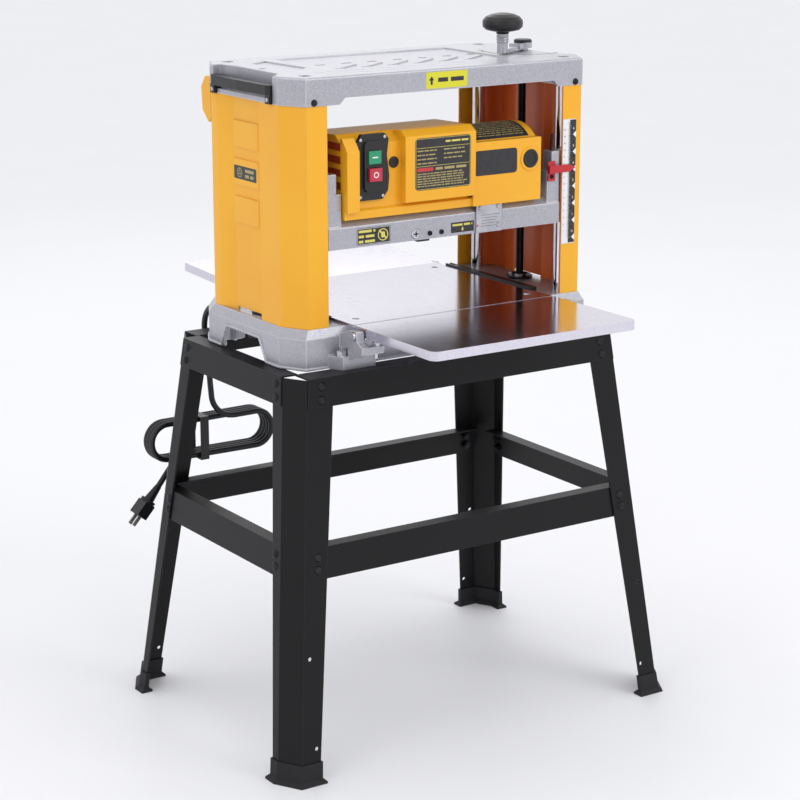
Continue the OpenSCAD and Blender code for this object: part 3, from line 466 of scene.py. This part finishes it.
# painted shade: deep orange for the shaded inner wall seen through the louvres
louvreShadeOrange = mouldedPlastic("mouldedAbsLouvreShade", "#C8541A", "#B9481B", 0.45)
silver = silverPaint()
yellow = yellowAbs()
darkPanel = printedFilm("filmBlack", "#222125", 0.3)
inkWhite = printedFilm("inkWhite", "#EDEDEF")
inkYellow = printedFilm("inkYellow", "#D9CE63")
inkGold = printedFilm("inkDullGold", "#A8975C")
inkRed = printedFilm("inkRed", "#C0302C")
labelYellow = printedFilm("filmYellow", "#D6D024")
finishes = {
    "stand_paint": standPaint(),
    "foot_rubber": rubberSkin("mouldedRubberFoot", "#151517", "#1D1D20"),
    "zinc_bolt": zincSteel,
    "black_bolt": ironSteel,
    "silver_casting": silver,
    "table_steel": metalSurface("groundSteelPolished", "#DDDAE4", "#D2CEDB", 0.13, tableLines, 0.9, 0.6,
                                0.006, 0.07),
    "black_plastic": blackAbs,
    "column_chrome": metalSurface("hardChromedSteel", "#DCDDE2", "#CFD0D8", 0.08, drawnLines, 2.5, 0.5,
                                  0.004, 0.05),
    "yellow_plastic": yellow,
    "scale_plate": printedFilm("scalePlateFilm", "#E6E6E9", 0.3),
    "screw_steel": metalSurface("oiledScrewSteel", "#2C2C30", "#1F1F23", 0.3, None, 2),
    "crank_metal": metalSurface("diecastZincSatin", "#C6C6CC", "#B0B0B8", 0.24, None, 5, 1.2),
    "motor_black": mouldedPlastic("motorEnamelBlack", "#17171A", "#1D1D20", 0.3, 1.0),
    "green_button": mouldedPlastic("mouldedAbsGreen", "#23986A", "#1F8F63", 0.3, 0.4, 0.7),
    "red_button": mouldedPlastic("mouldedAbsRed", "#C22F42", "#B92A3C", 0.3, 0.4, 0.7),
    "cutter_steel": metalSurface("machinedSteelCutter", "#8E8E94", "#7C7C83", 0.3, turnedLines, 1.0),
    "roller_rubber": rubberSkin("nitrileRoller", "#232326", "#2B2B2F"),
    "pointer_red": mouldedPlastic("enamelledSteelRed", "#C2222B", "#BA1F28", 0.32, 1.0, 0.5),
    "cord_pvc": rubberSkin("softPvcJacket", "#131315", "#1A1A1D", 0.42, 0.9, 0.5),
}
for row in frame["record"]["subparts"]:
    shown = nodes[row["node"]]
    shown.data.materials.clear()
    shown.data.materials.append(finishes[row["material_slot"]])
nodes["plug"].data.materials[0] = plugMaterial(plugFacts)
nodes["crank_knob"].data.materials[0] = knobMaterial(knobFacts)
print("materials made")

# floor, in metres

floorFacts = {"half": 45.0, "colour": "#F4F4F6", "tone": "#F1F1F4"}
floorMaterial, tree, shader, place = startMaterial("paleStudioFloor", {
    "Roughness": 0.55, "Specular IOR Level": 0.3})
shade = {0: grain(tree, place, 400, 2), 1: floorFacts["colour"], 2: floorFacts["tone"]}
feed(tree, shader, {"Base Color": add(tree, "MixRGB", shade)[0]})
half = floorFacts["half"]
floorMesh = bpy.data.meshes.new("floor")
corners = [(-half, -half, 0), (half, -half, 0), (half, half, 0), (-half, half, 0)]
floorMesh.from_pydata(corners, [], [(0, 1, 2, 3)])
floorMesh.materials.append(floorMaterial)
floor = bpy.data.objects.new("floor", floorMesh)
scene.collection.objects.link(floor)

# power cord

cordFacts = {"diameter": 9.0, "exit": (-212, 146, 596), "straight": 26, "downBend": 37.5, "step": 8,
             "drop": [(-211, 539), (-208.5, 511), (-205.5, 483)], "joinX": -163, "joinBend": 40,
             "left": -276, "right": -124, "middle": 385, "fold": 27.5, "turns": 3, "layer": 9.06,
             "leaveX": -222, "leaveBend": 45, "leaveTo": 138, "plug": (-284, 236, 311)}


def cordRoute(f):
    # straight out, a quarter turn down and a drop, then wound: y grows by one layer each turn round the
    # two folds; last it leaves towards the lower left, for the plug
    across, along = ((1, 0, 0), (0, 0, 1)), ((0, 1, 0), (0, 0, 1))
    x, y, z = f["exit"]
    r, middle, left, right, bend = f["fold"], f["middle"], f["left"], f["right"], f["downBend"]
    far = y + f["straight"]
    first = far + bend  # y of the hank's first layer
    out = np.linspace((x, y, z), (x, far, z), 3)
    down = arcPoints((x, far, z - bend), bend, 90, 0, 7, along)[1:]
    drop = np.array([[dropX, first, dropZ] for dropX, dropZ in f["drop"]])
    join = arcPoints((f["joinX"], first, middle + r + f["joinBend"]), f["joinBend"], 180, 270, 7, across)
    run, fold = right - left, math.pi * r
    turn = 2 * run + 2 * fold
    whole = f["turns"] * turn + (right - f["joinX"]) + fold + (right - f["leaveX"])
    s = np.linspace(0, whole, int(whole / f["step"]) + 1)[1:]
    q = (s + (f["joinX"] - left)) % turn  # distance from the left end of the upper run
    where = [q < run, q < run + fold, q < 2 * run + fold]  # upper run, right fold, lower run
    atRight, atLeft = (q - run) / r, (q - 2 * run - fold) / r  # angles round the folds
    windX = np.select(where, [left + q, right + r * np.sin(atRight), right - (q - run - fold)],
                      left - r * np.sin(atLeft))
    windZ = np.select(where, [np.full_like(q, middle + r), middle + r * np.cos(atRight),
                              np.full_like(q, middle - r)], middle - r * np.cos(atLeft))
    wound = np.column_stack([windX, first + f["layer"] * s / turn, windZ])
    centre = (f["leaveX"], wound[-1, 1], middle - r - f["leaveBend"])
    leave = arcPoints(centre, f["leaveBend"], 90, f["leaveTo"], 5, across)[1:]
    end = np.array(f["plug"], float)
    last = leave[-1] + (end - leave[-1]) * np.array([0.33, 0.66, 1.0])[:, None]
    leave[:, 1] += np.linspace(-0.3, -1.2, len(leave))  # eases forwards to the plug
    last[:, 1] = np.linspace(leave[-1, 1] - 1, end[1], 3)
    return np.concatenate([out, down, drop, join, wound, leave, last])


route = cordRoute(cordFacts)
ahead, behind = neighbours(route)
slope = (ahead - behind) / np.linalg.norm(ahead - behind, axis=1)[:, None]
before = np.linalg.norm(route - behind, axis=1)[:, None] / 3
after = np.linalg.norm(ahead - route, axis=1)[:, None] / 3
curve = bpy.data.curves.new("powerCord", "CURVE")
curve.dimensions, curve.bevel_depth, curve.bevel_resolution = "3D", cordFacts["diameter"] / 2 * mm, 4
curve.resolution_u, curve.use_fill_caps = 3, True
spline = curve.splines.new("BEZIER")
spline.bezier_points.add(len(route) - 1)
spline.bezier_points.foreach_set("co", (route * mm).ravel())
spline.bezier_points.foreach_set("handle_left", ((route - slope * before) * mm).ravel())
spline.bezier_points.foreach_set("handle_right", ((route + slope * after) * mm).ravel())
powerCord = bpy.data.objects.new("powerCord", curve)
scene.collection.objects.link(powerCord)
curve.materials.append(finishes["cord_pvc"])
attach(powerCord, "frame")
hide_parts("cord_lead", "cord_hank", "cord_tail")

# ribbed strain relief, tapering out of the gland
bootFacts = {"ribs": 6, "pitch": 4.4, "radius": 7.9, "taper": 0.42, "groove": 1.1, "y": 145.8}
boot = [(8.4, 0.2), (8.4, 2.5)]
for i in range(bootFacts["ribs"]):
    r, h = bootFacts["radius"] - bootFacts["taper"] * i, bootFacts["pitch"] * i
    inner = r - bootFacts["groove"]
    boot += [(r, 3.2 + h), (r, 5.8 + h), (inner, 6.2 + h), (inner, 7.2 + h)]
boot += [(5.0, 31.0), (4.7, 31.6)]
bootPlace = on("rear", cordFacts["exit"][0], bootFacts["y"], cordFacts["exit"][2])
cordBoot = makePiece("cordBoot", [lathePart(boot, bootPlace, 28)], "frame", [blackAbs])

print("cord made")

# labels and prints; the real words are left out and stand as plain bars

filmLayers = [(0, 0), (0, 0.12), (0.06, 0.18)]  # inset and height: a film with its rim eased
inkLayers = [(0, 0.1), (0, 0.25)]  # ink on a film
thinLayers = [(0, 0), (0, 0.12)]   # ink on a bare face


def frameBars(w, h, t):
    return [barBox(-w / 2, h / 2 - t, w / 2, h / 2), barBox(-w / 2, -h / 2, w / 2, t - h / 2),
            barBox(-w / 2, t - h / 2, t - w / 2, h / 2 - t), barBox(w / 2 - t, t - h / 2, w / 2, h / 2 - t)]


def wordRows(x0, x1, y0, y1, rows, height, seed, ink, full):
    # bars of uneven length in rows, as words in a paragraph; each row is at least full of its width
    rng = np.random.default_rng(seed)
    marks = []
    for y in np.linspace(y1 - height / 2, y0 + height / 2, rows):
        x, end = x0, x0 + (x1 - x0) * rng.uniform(full, 1)
        while x < end - 1:
            w = min(rng.uniform(2.5, 8) * height / 1.2, end - x)
            marks.append((barBox(x, y - height / 2, x + w, y + height / 2), ink))
            x += w + height * 0.8
    return marks


def arrowOutline(x, y, w, h):
    # arrow centred on x, y, pointing up
    return np.array([[x - w / 5, y - h / 2], [x + w / 5, y - h / 2], [x + w / 5, y], [x + w / 2, y],
                     [x, y + h / 2], [x - w / 2, y], [x - w / 5, y]])


def sheetLabel(name, f, body, base, inks):
    # a film with rounded corners; on it a rim, bars, outlines and rows of words, each in its ink
    marks = [(outline, 1) for outline in (frameBars(*f["rim"]) if "rim" in f else [])]
    marks += [(barBox(*box), ink) for *box, ink in f.get("bars", [])] + f.get("outlines", [])
    for row in f.get("words", []):
        marks += wordRows(*row)
    parts = [slabPart(roundBox(*f["size"]), filmLayers, f["place"])]
    parts += [slabPart(outline, inkLayers, f["place"], ink) for outline, ink in marks]
    return makePiece(name, parts, body, [base, *inks], smooth=False)


# size is width, height and corner; bars and words end with their ink, words with how full a row is
plateFacts = {"place": on("front", -15.5, -140.02, 837), "size": (95, 73.5, 5), "rim": (93, 71.5, 0.5),
              "bars": [(-45, 22.4, 45, 22.9, 1), (-45, -3.4, 45, -2.9, 1), (-44, -10.4, -17, -5.2, 3)],
              "words": [(4, 44, 26, 31, 1, 2.6, 3, 1, 0.97), (-44, -8, 0, 19.5, 4, 1.8, 5, 2, 0.75),
                        (1, 40, 5.5, 19.5, 3, 1.8, 7, 2, 0.75), (-13, 40, -10, -6, 1, 3.6, 9, 2, 0.95),
                        (-44, 42, -32, -13, 6, 1.6, 11, 2, 0.9)]}
panelFacts = {"place": on("front", 79.5, -136.02, 829), "size": (75, 36, 5)}
beamFacts = {"place": on("front", -126, -130.02, 742.5), "size": (56, 24, 1.5), "rim": (54.4, 22.4, 0.45),
             "words": [(-25, 3, -9, 9, 3, 3.6, 13, 2, 0.9)]}
smallFacts = {"place": on("front", 25.5, -130.02, 739.5), "size": (40, 15, 1),
              "outlines": [(arrowOutline(0, 3, 5, 6)[::-1] * [1, -1], 1)],
              "words": [(-17.5, 17.5, 1, 5, 1, 3.0, 15, 1, 0.97)]}
feedFacts = {"place": on("front", -5, -133.02, 952), "size": (70, 23, 0.8),
             "outlines": [(arrowOutline(-26, 0, 9, 12), 1)],
             "words": [(-15, 29, -3.2, 3.2, 1, 6, 17, 1, 0.97)]}
badgeFacts = {"place": on("left", -251.02, 8.5, 822), "size": (62, 19, 1.5),
              "words": [(0, 26, -6, 6, 2, 4.4, 19, 1, 0.85)]}

sheetLabel("ratingPlate", plateFacts, "carriage", darkPanel, [inkYellow, inkGold, inkRed])
sheetLabel("sidePanelFilm", panelFacts, "carriage", darkPanel, [])
sheetLabel("beamLabel", beamFacts, "carriage", darkPanel, [inkWhite, inkYellow])
ring = on("front", -110.5, -130.2, 742.5)
slash = [[5.6, -7.4], [7.4, -5.6], [-5.6, 7.4], [-7.4, 5.6]]
ringParts = [ringPart((7.2, 8.6), (0, 0.12), ring), slabPart(roundBox(6.4, 8.4, 2), thinLayers, ring),
             slabPart(slash, [(0, 0.05), (0, 0.16)], ring)]
makePiece("beamLabelRing", ringParts, "carriage", [inkYellow], smooth=False)
sheetLabel("feedLabelSmall", smallFacts, "carriage", darkPanel, [inkYellow])
sheetLabel("feedLabel", feedFacts, "frame", labelYellow, [darkPanel])
sheetLabel("coverBadge", badgeFacts, "frame", darkPanel, [inkGold])

# two rings joined by three spokes, on the badge
badgeRing = on("left", -251.02, 24, 822)
badgeLayers = (0.2, 0.32)
badgeParts = [ringPart((5.6, 6.9), badgeLayers, badgeRing), ringPart((2.0, 3.0), badgeLayers, badgeRing, 24)]
for a in np.radians([90, 210, 330]):
    spoke = barBox(2.8, -0.5, 5.8, 0.5) @ [[math.cos(a), math.sin(a)], [-math.sin(a), math.cos(a)]]
    badgeParts.append(slabPart(spoke, [(0, height) for height in badgeLayers], badgeRing))
makePiece("coverBadgeMark", badgeParts, "frame", [inkGold], smooth=False)

# wrapped film on the motor housing: rows of print; degrees are counted up from the front
housingFacts = {"axisY": -78, "axisZ": 814.5, "filmX": (47, 149), "filmAngles": (47, 104),
                "filmRadii": (61.9, 62.2), "printX": (52, 142, 144), "rowAngles": (52, 100, 4.2),
                "rowHeight": 1.3, "printRadii": (62.1, 62.28), "wordWidths": (3, 11), "gap": 1.6, "seed": 23}


def housingArc(f, x0, x1, start, end, radii, ink=0):
    # part of a shell round the motor housing's axis, a step of at most three degrees
    a = np.radians(np.linspace(start, end, max(2, int((end - start) / 3) + 1)))
    section = np.array([[x0, radii[0]], [x1, radii[0]], [x1, radii[1]], [x0, radii[1]]], float)
    points = np.stack([np.broadcast_to(section[:, 0], (len(a), 4)),
                       f["axisY"] - np.outer(np.cos(a), section[:, 1]),
                       f["axisZ"] + np.outer(np.sin(a), section[:, 1])], axis=-1)
    return gridPart(points, ink=ink)


def housingWrap(f):
    parts = [housingArc(f, *f["filmX"], *f["filmAngles"], f["filmRadii"])]
    rng = np.random.default_rng(f["seed"])
    first, last, edge = f["printX"]
    for a in np.arange(*f["rowAngles"]):
        x = float(first)
        while x < last:
            w = min(rng.uniform(*f["wordWidths"]), edge - x)
            parts.append(housingArc(f, x, x + w, a, a + f["rowHeight"], f["printRadii"], 1))
            x += w + f["gap"]
    return parts


makePiece("housingWrapFilm", housingWrap(housingFacts), "carriage", [darkPanel, inkGold])

# cap for the motor brush, with its coin slot, and the small plug beside the switch
capProfile = [(13.4, -1), (13.4, 1.2), (12.6, 2), (9.6, 2.2), (9.2, 1.2), (0.3, 1.2)]
plugProfile = [(8, -1), (8, 1), (7.2, 1.8), (4.6, 2), (4.2, 1), (0.3, 0.9)]
brush = on("front", 140.5, -136, 829)
makePiece("brushRing", [ringPart((13.6, 17.2), (-1, 1.3), brush, 48)], "carriage", [yellow])
coinSlot = slabPart(barBox(-1.1, -7, 1.1, 7), [(0, 0.6), (0, 1.7)], brush)
makePiece("brushCap", [lathePart(capProfile, brush, 48), coinSlot], "carriage", [blackAbs])
makePiece("coverPlug", [lathePart(plugProfile, on("front", -90, -126, 842), 40)], "carriage", [blackAbs])

# deep orange sheet behind the louvres: painted shade of the cover's shaded inner wall seen through them
makePiece("louvrePaintedShade", [slabPart(barBox(40, 782, 122, 879), [(0, -0.8), (0, 0)], on("left", -171.2, 0, 0))],
          "carriage", [louvreShadeOrange], smooth=False)

# screws


def headProfile(r, h):
    # domed head with its drive sunk in the middle
    return [(r, -1.0), (r, h * 0.5), (r * 0.93, h * 0.8), (r * 0.76, h), (r * 0.48, h), (r * 0.45, h * 0.4),
            (r * 0.05, h * 0.3)]


def crossPart(r, h, place):
    # cross recess drawn as two dark bars just above the sunk floor; the dark is painted shade standing in for
    # the recess
    layers = [(0, h - 0.3), (0, h)]
    return [slabPart(barBox(-r, -r * 0.22, r, r * 0.22), layers, place, 1),
            slabPart(barBox(-r * 0.22, -r, r * 0.22, r), layers, place, 1)]


pivot = on("front", -56, -130, 737.5)
pivotProfile = [(6.6, -1), (6.6, 1), (5.8, 1.9), (4.2, 2.2), (0.2, 2.3)]
switchCorners = ((-20.5, 38.5), (19, 41), (16, -41), (-21, -41))
screwFacts = {  # head radius, height and points round it; where each one sits
    "beamSocketScrews": (3.6, 2.2, 24, [on("front", x, -130, 736) for x in (-31, -11)]),
    "switchScrews": (2.3, 1.2, 20, [on("front", -128 + x, -132, 839 + z) for x, z in switchCorners]),
    "pointerScrews": (3.2, 1.8, 20, [on("front", 184.5, -130.5, z) for z in (797.5, 810.5)]),
    "handleScrews": (3.0, 1.4, 20, [on(side, x, y, 935) for y in (-73.5, 79.5)
                                    for side, x in (("left", -262), ("right", 262))]),
}
heads = {name: [lathePart(headProfile(r, h), place, count) for place in places]
         for name, (r, h, count, places) in screwFacts.items()}
makePiece("beamSocketScrews", heads["beamSocketScrews"], "carriage", [ironSteel])
# painted shade: dark steel bars in the cross recess of the zinc head
makePiece("beamCrossScrew", [lathePart(pivotProfile, pivot, 36), *crossPart(4.2, 2.45, pivot)], "carriage",
          [zincSteel, ironSteel])
makePiece("switchScrews", heads["switchScrews"], "carriage", [zincSteel])
makePiece("pointerScrews", heads["pointerScrews"], "carriage", [ironSteel])
makePiece("handleScrews", heads["handleScrews"], "frame", [zincSteel])

# marks on the start and stop buttons
makePiece("startBar", [slabPart(roundBox(9, 1.8, 0.6), [(0, -0.2), (0, 0.2)], on("front", -128, -138, 853))],
          "start_button", [inkWhite], smooth=False)
makePiece("stopRing", [ringPart((2.9, 4.2), (-0.2, 0.2), on("front", -128, -140.5, 829), 36)], "stop_button",
          [inkWhite], smooth=False)

# height scale: centimetres at the left, inches at the right
scaleFacts = {"zeroZ": 705.0, "cm": 10.0, "inch": 25.4, "left": 202.8, "middle": 214.4, "right": 225.9,
              "y": -133.02, "bandZ": (697, 879), "lastMark": 170, "lastCm": 16, "lastEighth": 54,
              "lastInch": 6}


def textPart(words, height, place, ink):
    # digits from the built-in face, turned to a mesh and laid on a place
    data = bpy.data.curves.new("digits", "FONT")
    data.body, data.size, data.extrude, data.resolution_u = words, height, 0.07, 2
    data.align_x, data.align_y = "CENTER", "CENTER"
    helper = bpy.data.objects.new("digits", data)
    scene.collection.objects.link(helper)
    bpy.context.view_layer.update()
    mesh = bpy.data.meshes.new_from_object(helper.evaluated_get(bpy.context.evaluated_depsgraph_get()))
    co = np.zeros(len(mesh.vertices) * 3)
    mesh.vertices.foreach_get("co", co)
    faces = [list(p.vertices) for p in mesh.polygons]
    bpy.data.objects.remove(helper)
    return placed(co.reshape(-1, 3) + [0, 0, 0.2], place), faces, ink


def scalePrint(f):
    # black ink, 1, on the white plate; the inch band is black with white marks, 0
    flat, middle, right = on("front", 0, f["y"], 0), f["middle"], f["right"]
    white = [(0, 0.08), (0, 0.24)]
    parts = [slabPart(barBox(middle, f["bandZ"][0], right, f["bandZ"][1]), thinLayers, flat, 1)]
    for k in range(f["lastMark"] + 1):
        z = f["zeroZ"] + f["cm"] / 10 * k
        w = 3.8 if k % 10 == 0 else 3.0 if k % 5 == 0 else 2.0
        parts.append(slabPart(barBox(middle - w, z - 0.14, middle, z + 0.14), thinLayers, flat, 1))
    for k in range(1, f["lastCm"] + 1):
        parts.append(textPart(str(k), 3.2, on("front", f["left"] + 2.6, f["y"], f["zeroZ"] + f["cm"] * k), 1))
    for k in range(f["lastEighth"] + 1):
        z = f["zeroZ"] + f["inch"] / 8 * k
        w = 3.0 if k % 8 == 0 else 2.4 if k % 4 == 0 else 1.5
        parts.append(slabPart(barBox(middle, z - 0.2, middle + w, z + 0.2), white, flat, 0))
    for k in range(f["lastInch"] + 1):
        z = f["zeroZ"] + f["inch"] * k
        parts.append(slabPart([[right - 5.4, z], [right, z - 4.8], [right, z + 4.8]], white, flat, 0))
        parts.append(textPart(str(k), 5.2, on("front", right - 4.4, f["y"], z + 8.6), 0))
    return parts


makePiece("scalePrint", scalePrint(scaleFacts), "frame", [inkWhite, darkPanel], smooth=False)

# crank: printed arrow round it on the top, ring stack under the knob, and the clamp screw in the hub
crankFacts = {"x": 226, "topZ": 968.0, "arm": 70, "armAt": 208, "arrowEnd": 284, "ringsZ": 985.6,
              "clampZ": 976, "clampOut": 13.9}
printLayer = (0, 0.15)
hub = on("top", crankFacts["x"], 0, crankFacts["topZ"])
arrowHead = slabPart([[57.5, -1], [66, -1], [61.7, 8]], [(0, height) for height in printLayer],
                     onTurned(crankFacts["x"], crankFacts["topZ"], crankFacts["arrowEnd"]))
makePiece("turnArrow", [ringArcPart((60, 63.4), printLayer, hub, 148, crankFacts["arrowEnd"], 40), arrowHead],
          "frame", [darkPanel], smooth=False)
makePiece("turnArrowGold", [ringArcPart((63.8, 67), printLayer, hub, 140, 172, 16)], "frame", [inkGold],
          smooth=False)

armAngle = math.radians(crankFacts["armAt"])
armX, armY = crankFacts["arm"] * math.cos(armAngle), crankFacts["arm"] * math.sin(armAngle)
knobAxis = on("top", crankFacts["x"] + armX, armY, crankFacts["ringsZ"])
beads = [(8.55, 0), (9.3, 0.7), (9.3, 2), (8.6, 2.7), (8.6, 3.8), (9.3, 4.5), (9.3, 5.8), (8.6, 6.5),
         (8.6, 7.6), (9.5, 8.3), (9.5, 10), (8.55, 10.7)]
makePiece("knobRings", [lathePart(beads, knobAxis, 40)], "knob", [finishes["crank_metal"]])

clampAngle = armAngle - math.pi  # away from the arm
out = np.array([math.cos(clampAngle), math.sin(clampAngle), 0])
clampPlace = np.array([[crankFacts["x"], 0, crankFacts["clampZ"]] + out * crankFacts["clampOut"],
                       [-out[1], out[0], 0], [0, 0, 1], out])
clampProfile = [(4.2, -1), (4.2, 2.6), (3.6, 3.2), (2.0, 3.2), (1.9, 1.6), (0.2, 1.5)]
makePiece("crankClampScrew", [lathePart(clampProfile, clampPlace, 24)], "crank", [ironSteel])

# lead screws: two-millimetre thread, sprocket at the foot

leadFacts = {"pitch": 2.0, "crest": 5.99, "depth": 0.55, "sides": 24, "threadZ": 627, "plainEnd": 24,
             "shift": 0.5, "teeth": 18, "toothMiddle": 20.7, "toothHalf": 1.4, "toothFlat": 1.6,
             "toothSteps": 144}
footProfile = [(5.4, 575), (6, 575.6), (6, 583.8), (12, 584.2), (12, 585.8), (13, 586), (13, 590),
               (12, 590.2), (12, 592), (6, 592.2), (6, 627.4), (5.5, 627.8)]
wheelLayers = [(0.5, 586), (0, 586.8), (0, 589.2), (0.5, 590)]


def screwParts(f, x, top):
    # thread: radius = crest - depth * how far the point is from the helix, as a saw of height / pitch - angle
    # wheel: radius = middle + half the tooth's height * the cosine of teeth times the angle, cut flat
    axis = on("top", x, 0, 0)
    z = np.arange(f["threadZ"], top - f["plainEnd"], f["pitch"] / 4)[:, None]
    a = np.linspace(0, 2 * np.pi, f["sides"], endpoint=False)[None, :]
    phase = (z / f["pitch"] + f["shift"] - a / (2 * np.pi)) % 1
    r = f["crest"] - f["depth"] * np.abs(2 * phase - 1)
    thread = gridPart(np.stack([x + r * np.cos(a), r * np.sin(a), np.broadcast_to(z, r.shape)], axis=-1))
    head = [(5.5, top - 24.6), (6, top - 24.2), (6, top - 0.6), (5.4, top)]
    t = np.linspace(0, 2 * np.pi, f["toothSteps"], endpoint=False)
    tooth = f["toothMiddle"] + f["toothHalf"] * np.clip(f["toothFlat"] * np.cos(f["teeth"] * t), -1, 1)
    outline = np.column_stack([tooth * np.cos(t), tooth * np.sin(t)])
    return [thread, lathePart(footProfile, axis), lathePart(head, axis), slabPart(outline, wheelLayers, axis)]


for name, body, x, top, replaced in (("threadLeft", "left_screw", -226, 966, "lead_screw_left"),
                                     ("threadRight", "crank", 226, 968, "lead_screw_right")):
    made = makePiece(name, screwParts(leadFacts, x, top), body, [finishes["screw_steel"]])
    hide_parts(replaced)

# clamping screws along each knife
knifeFacts = {"axisZ": 751.5, "out": 20.6, "back": 3.2, "angles": (90, 210, 330), "reach": 150, "count": 8}
gibs = []
for angle in np.radians(knifeFacts["angles"]):
    out = np.array([0, -math.sin(angle), math.cos(angle)])
    ahead = np.cross(out, [1, 0, 0])
    for x in np.linspace(-knifeFacts["reach"], knifeFacts["reach"], knifeFacts["count"]):
        seat = np.array([x, 0, knifeFacts["axisZ"]]) + out * knifeFacts["out"] - ahead * knifeFacts["back"]
        gibs.append(lathePart(headProfile(2.4, 1.0), np.array([seat, [1, 0, 0], ahead, out]), 14))
makePiece("knifeScrews", gibs, "cutterhead", [ironSteel])

# castings: rolled lip round the foot of the base, which climbs over the arch at each side
lipFacts = {"halfX": 264.0, "halfY": 138.0, "z": 566.2, "corner": 21, "radius": 2.3, "step": 9}
hx, hy, z, corner = (lipFacts[key] for key in ("halfX", "halfY", "z", "corner"))
arch = [[-99, z], [-64, z], [-62, 573], [-46, 598.5], [48, 598.5], [60, 573], [62, z], [99, z]]
lip = [[-hx, y, v] for y, v in arch[::-1]] + [[corner - hx, -hy, z], [hx - corner, -hy, z]]
lip += [[hx, y, v] for y, v in arch] + [[hx - corner, hy, z], [corner - hx, hy, z]]
makePiece("baseLip", [tubePart(denser(lip, lipFacts["step"], True), lipFacts["radius"], 10, True)], "frame",
          [silver])

# flanged nut where each lead screw leaves the base
nuts = [ringPart((6.6, outer), heights, on("top", s * crankFacts["x"], 0, 0), 32)
        for outer, heights in ((12.5, (621.2, 628)), (20, (621.1, 624.2))) for s in (-1, 1)]
makePiece("screwFlanges", nuts, "frame", [ironSteel])

# ears behind the covers, and the stop lever on the right upright
earOutline = [[132.2, 945], [132.2, 885], [140, 879], [157, 895], [160, 929], [148, 945]]
earLayers = [(1, 0), (0, 1), (0, 7), (1, 8)]
ears = [slabPart(earOutline, earLayers, on("right", s * 232 - 4, 0, 0)) for s in (-1, 1)]
makePiece("coverEars", ears, "frame", [yellow], smooth=False)
lever = [[191, -118, 825], [191, -119, 841], [192, -120, 855], [192, -120, 863]]
rod = tubePart(denser(lever, 4, False), 2.0, 12, False)
makePiece("stopLever", [rod], "carriage", [ironSteel])

# small red mark and scribed lines on the gauge plate
gauge = on("front", 70.5, -133.0, 747)
redMark = [[-22, -10.8], [-18.4, -8.4], [-22, -6]]
makePiece("gaugeMarks", [slabPart(redMark, [(0, 0), (0, 0.15)], gauge)], "carriage", [inkRed], smooth=False)
makePiece("gaugeLines", [slabPart(barBox(-14, y, 18 - 3 * (i % 3), y + 0.5), thinLayers, gauge)
                         for i, y in enumerate((6, 2, -2, -6, -10))], "carriage", [darkPanel], smooth=False)
print("details made")
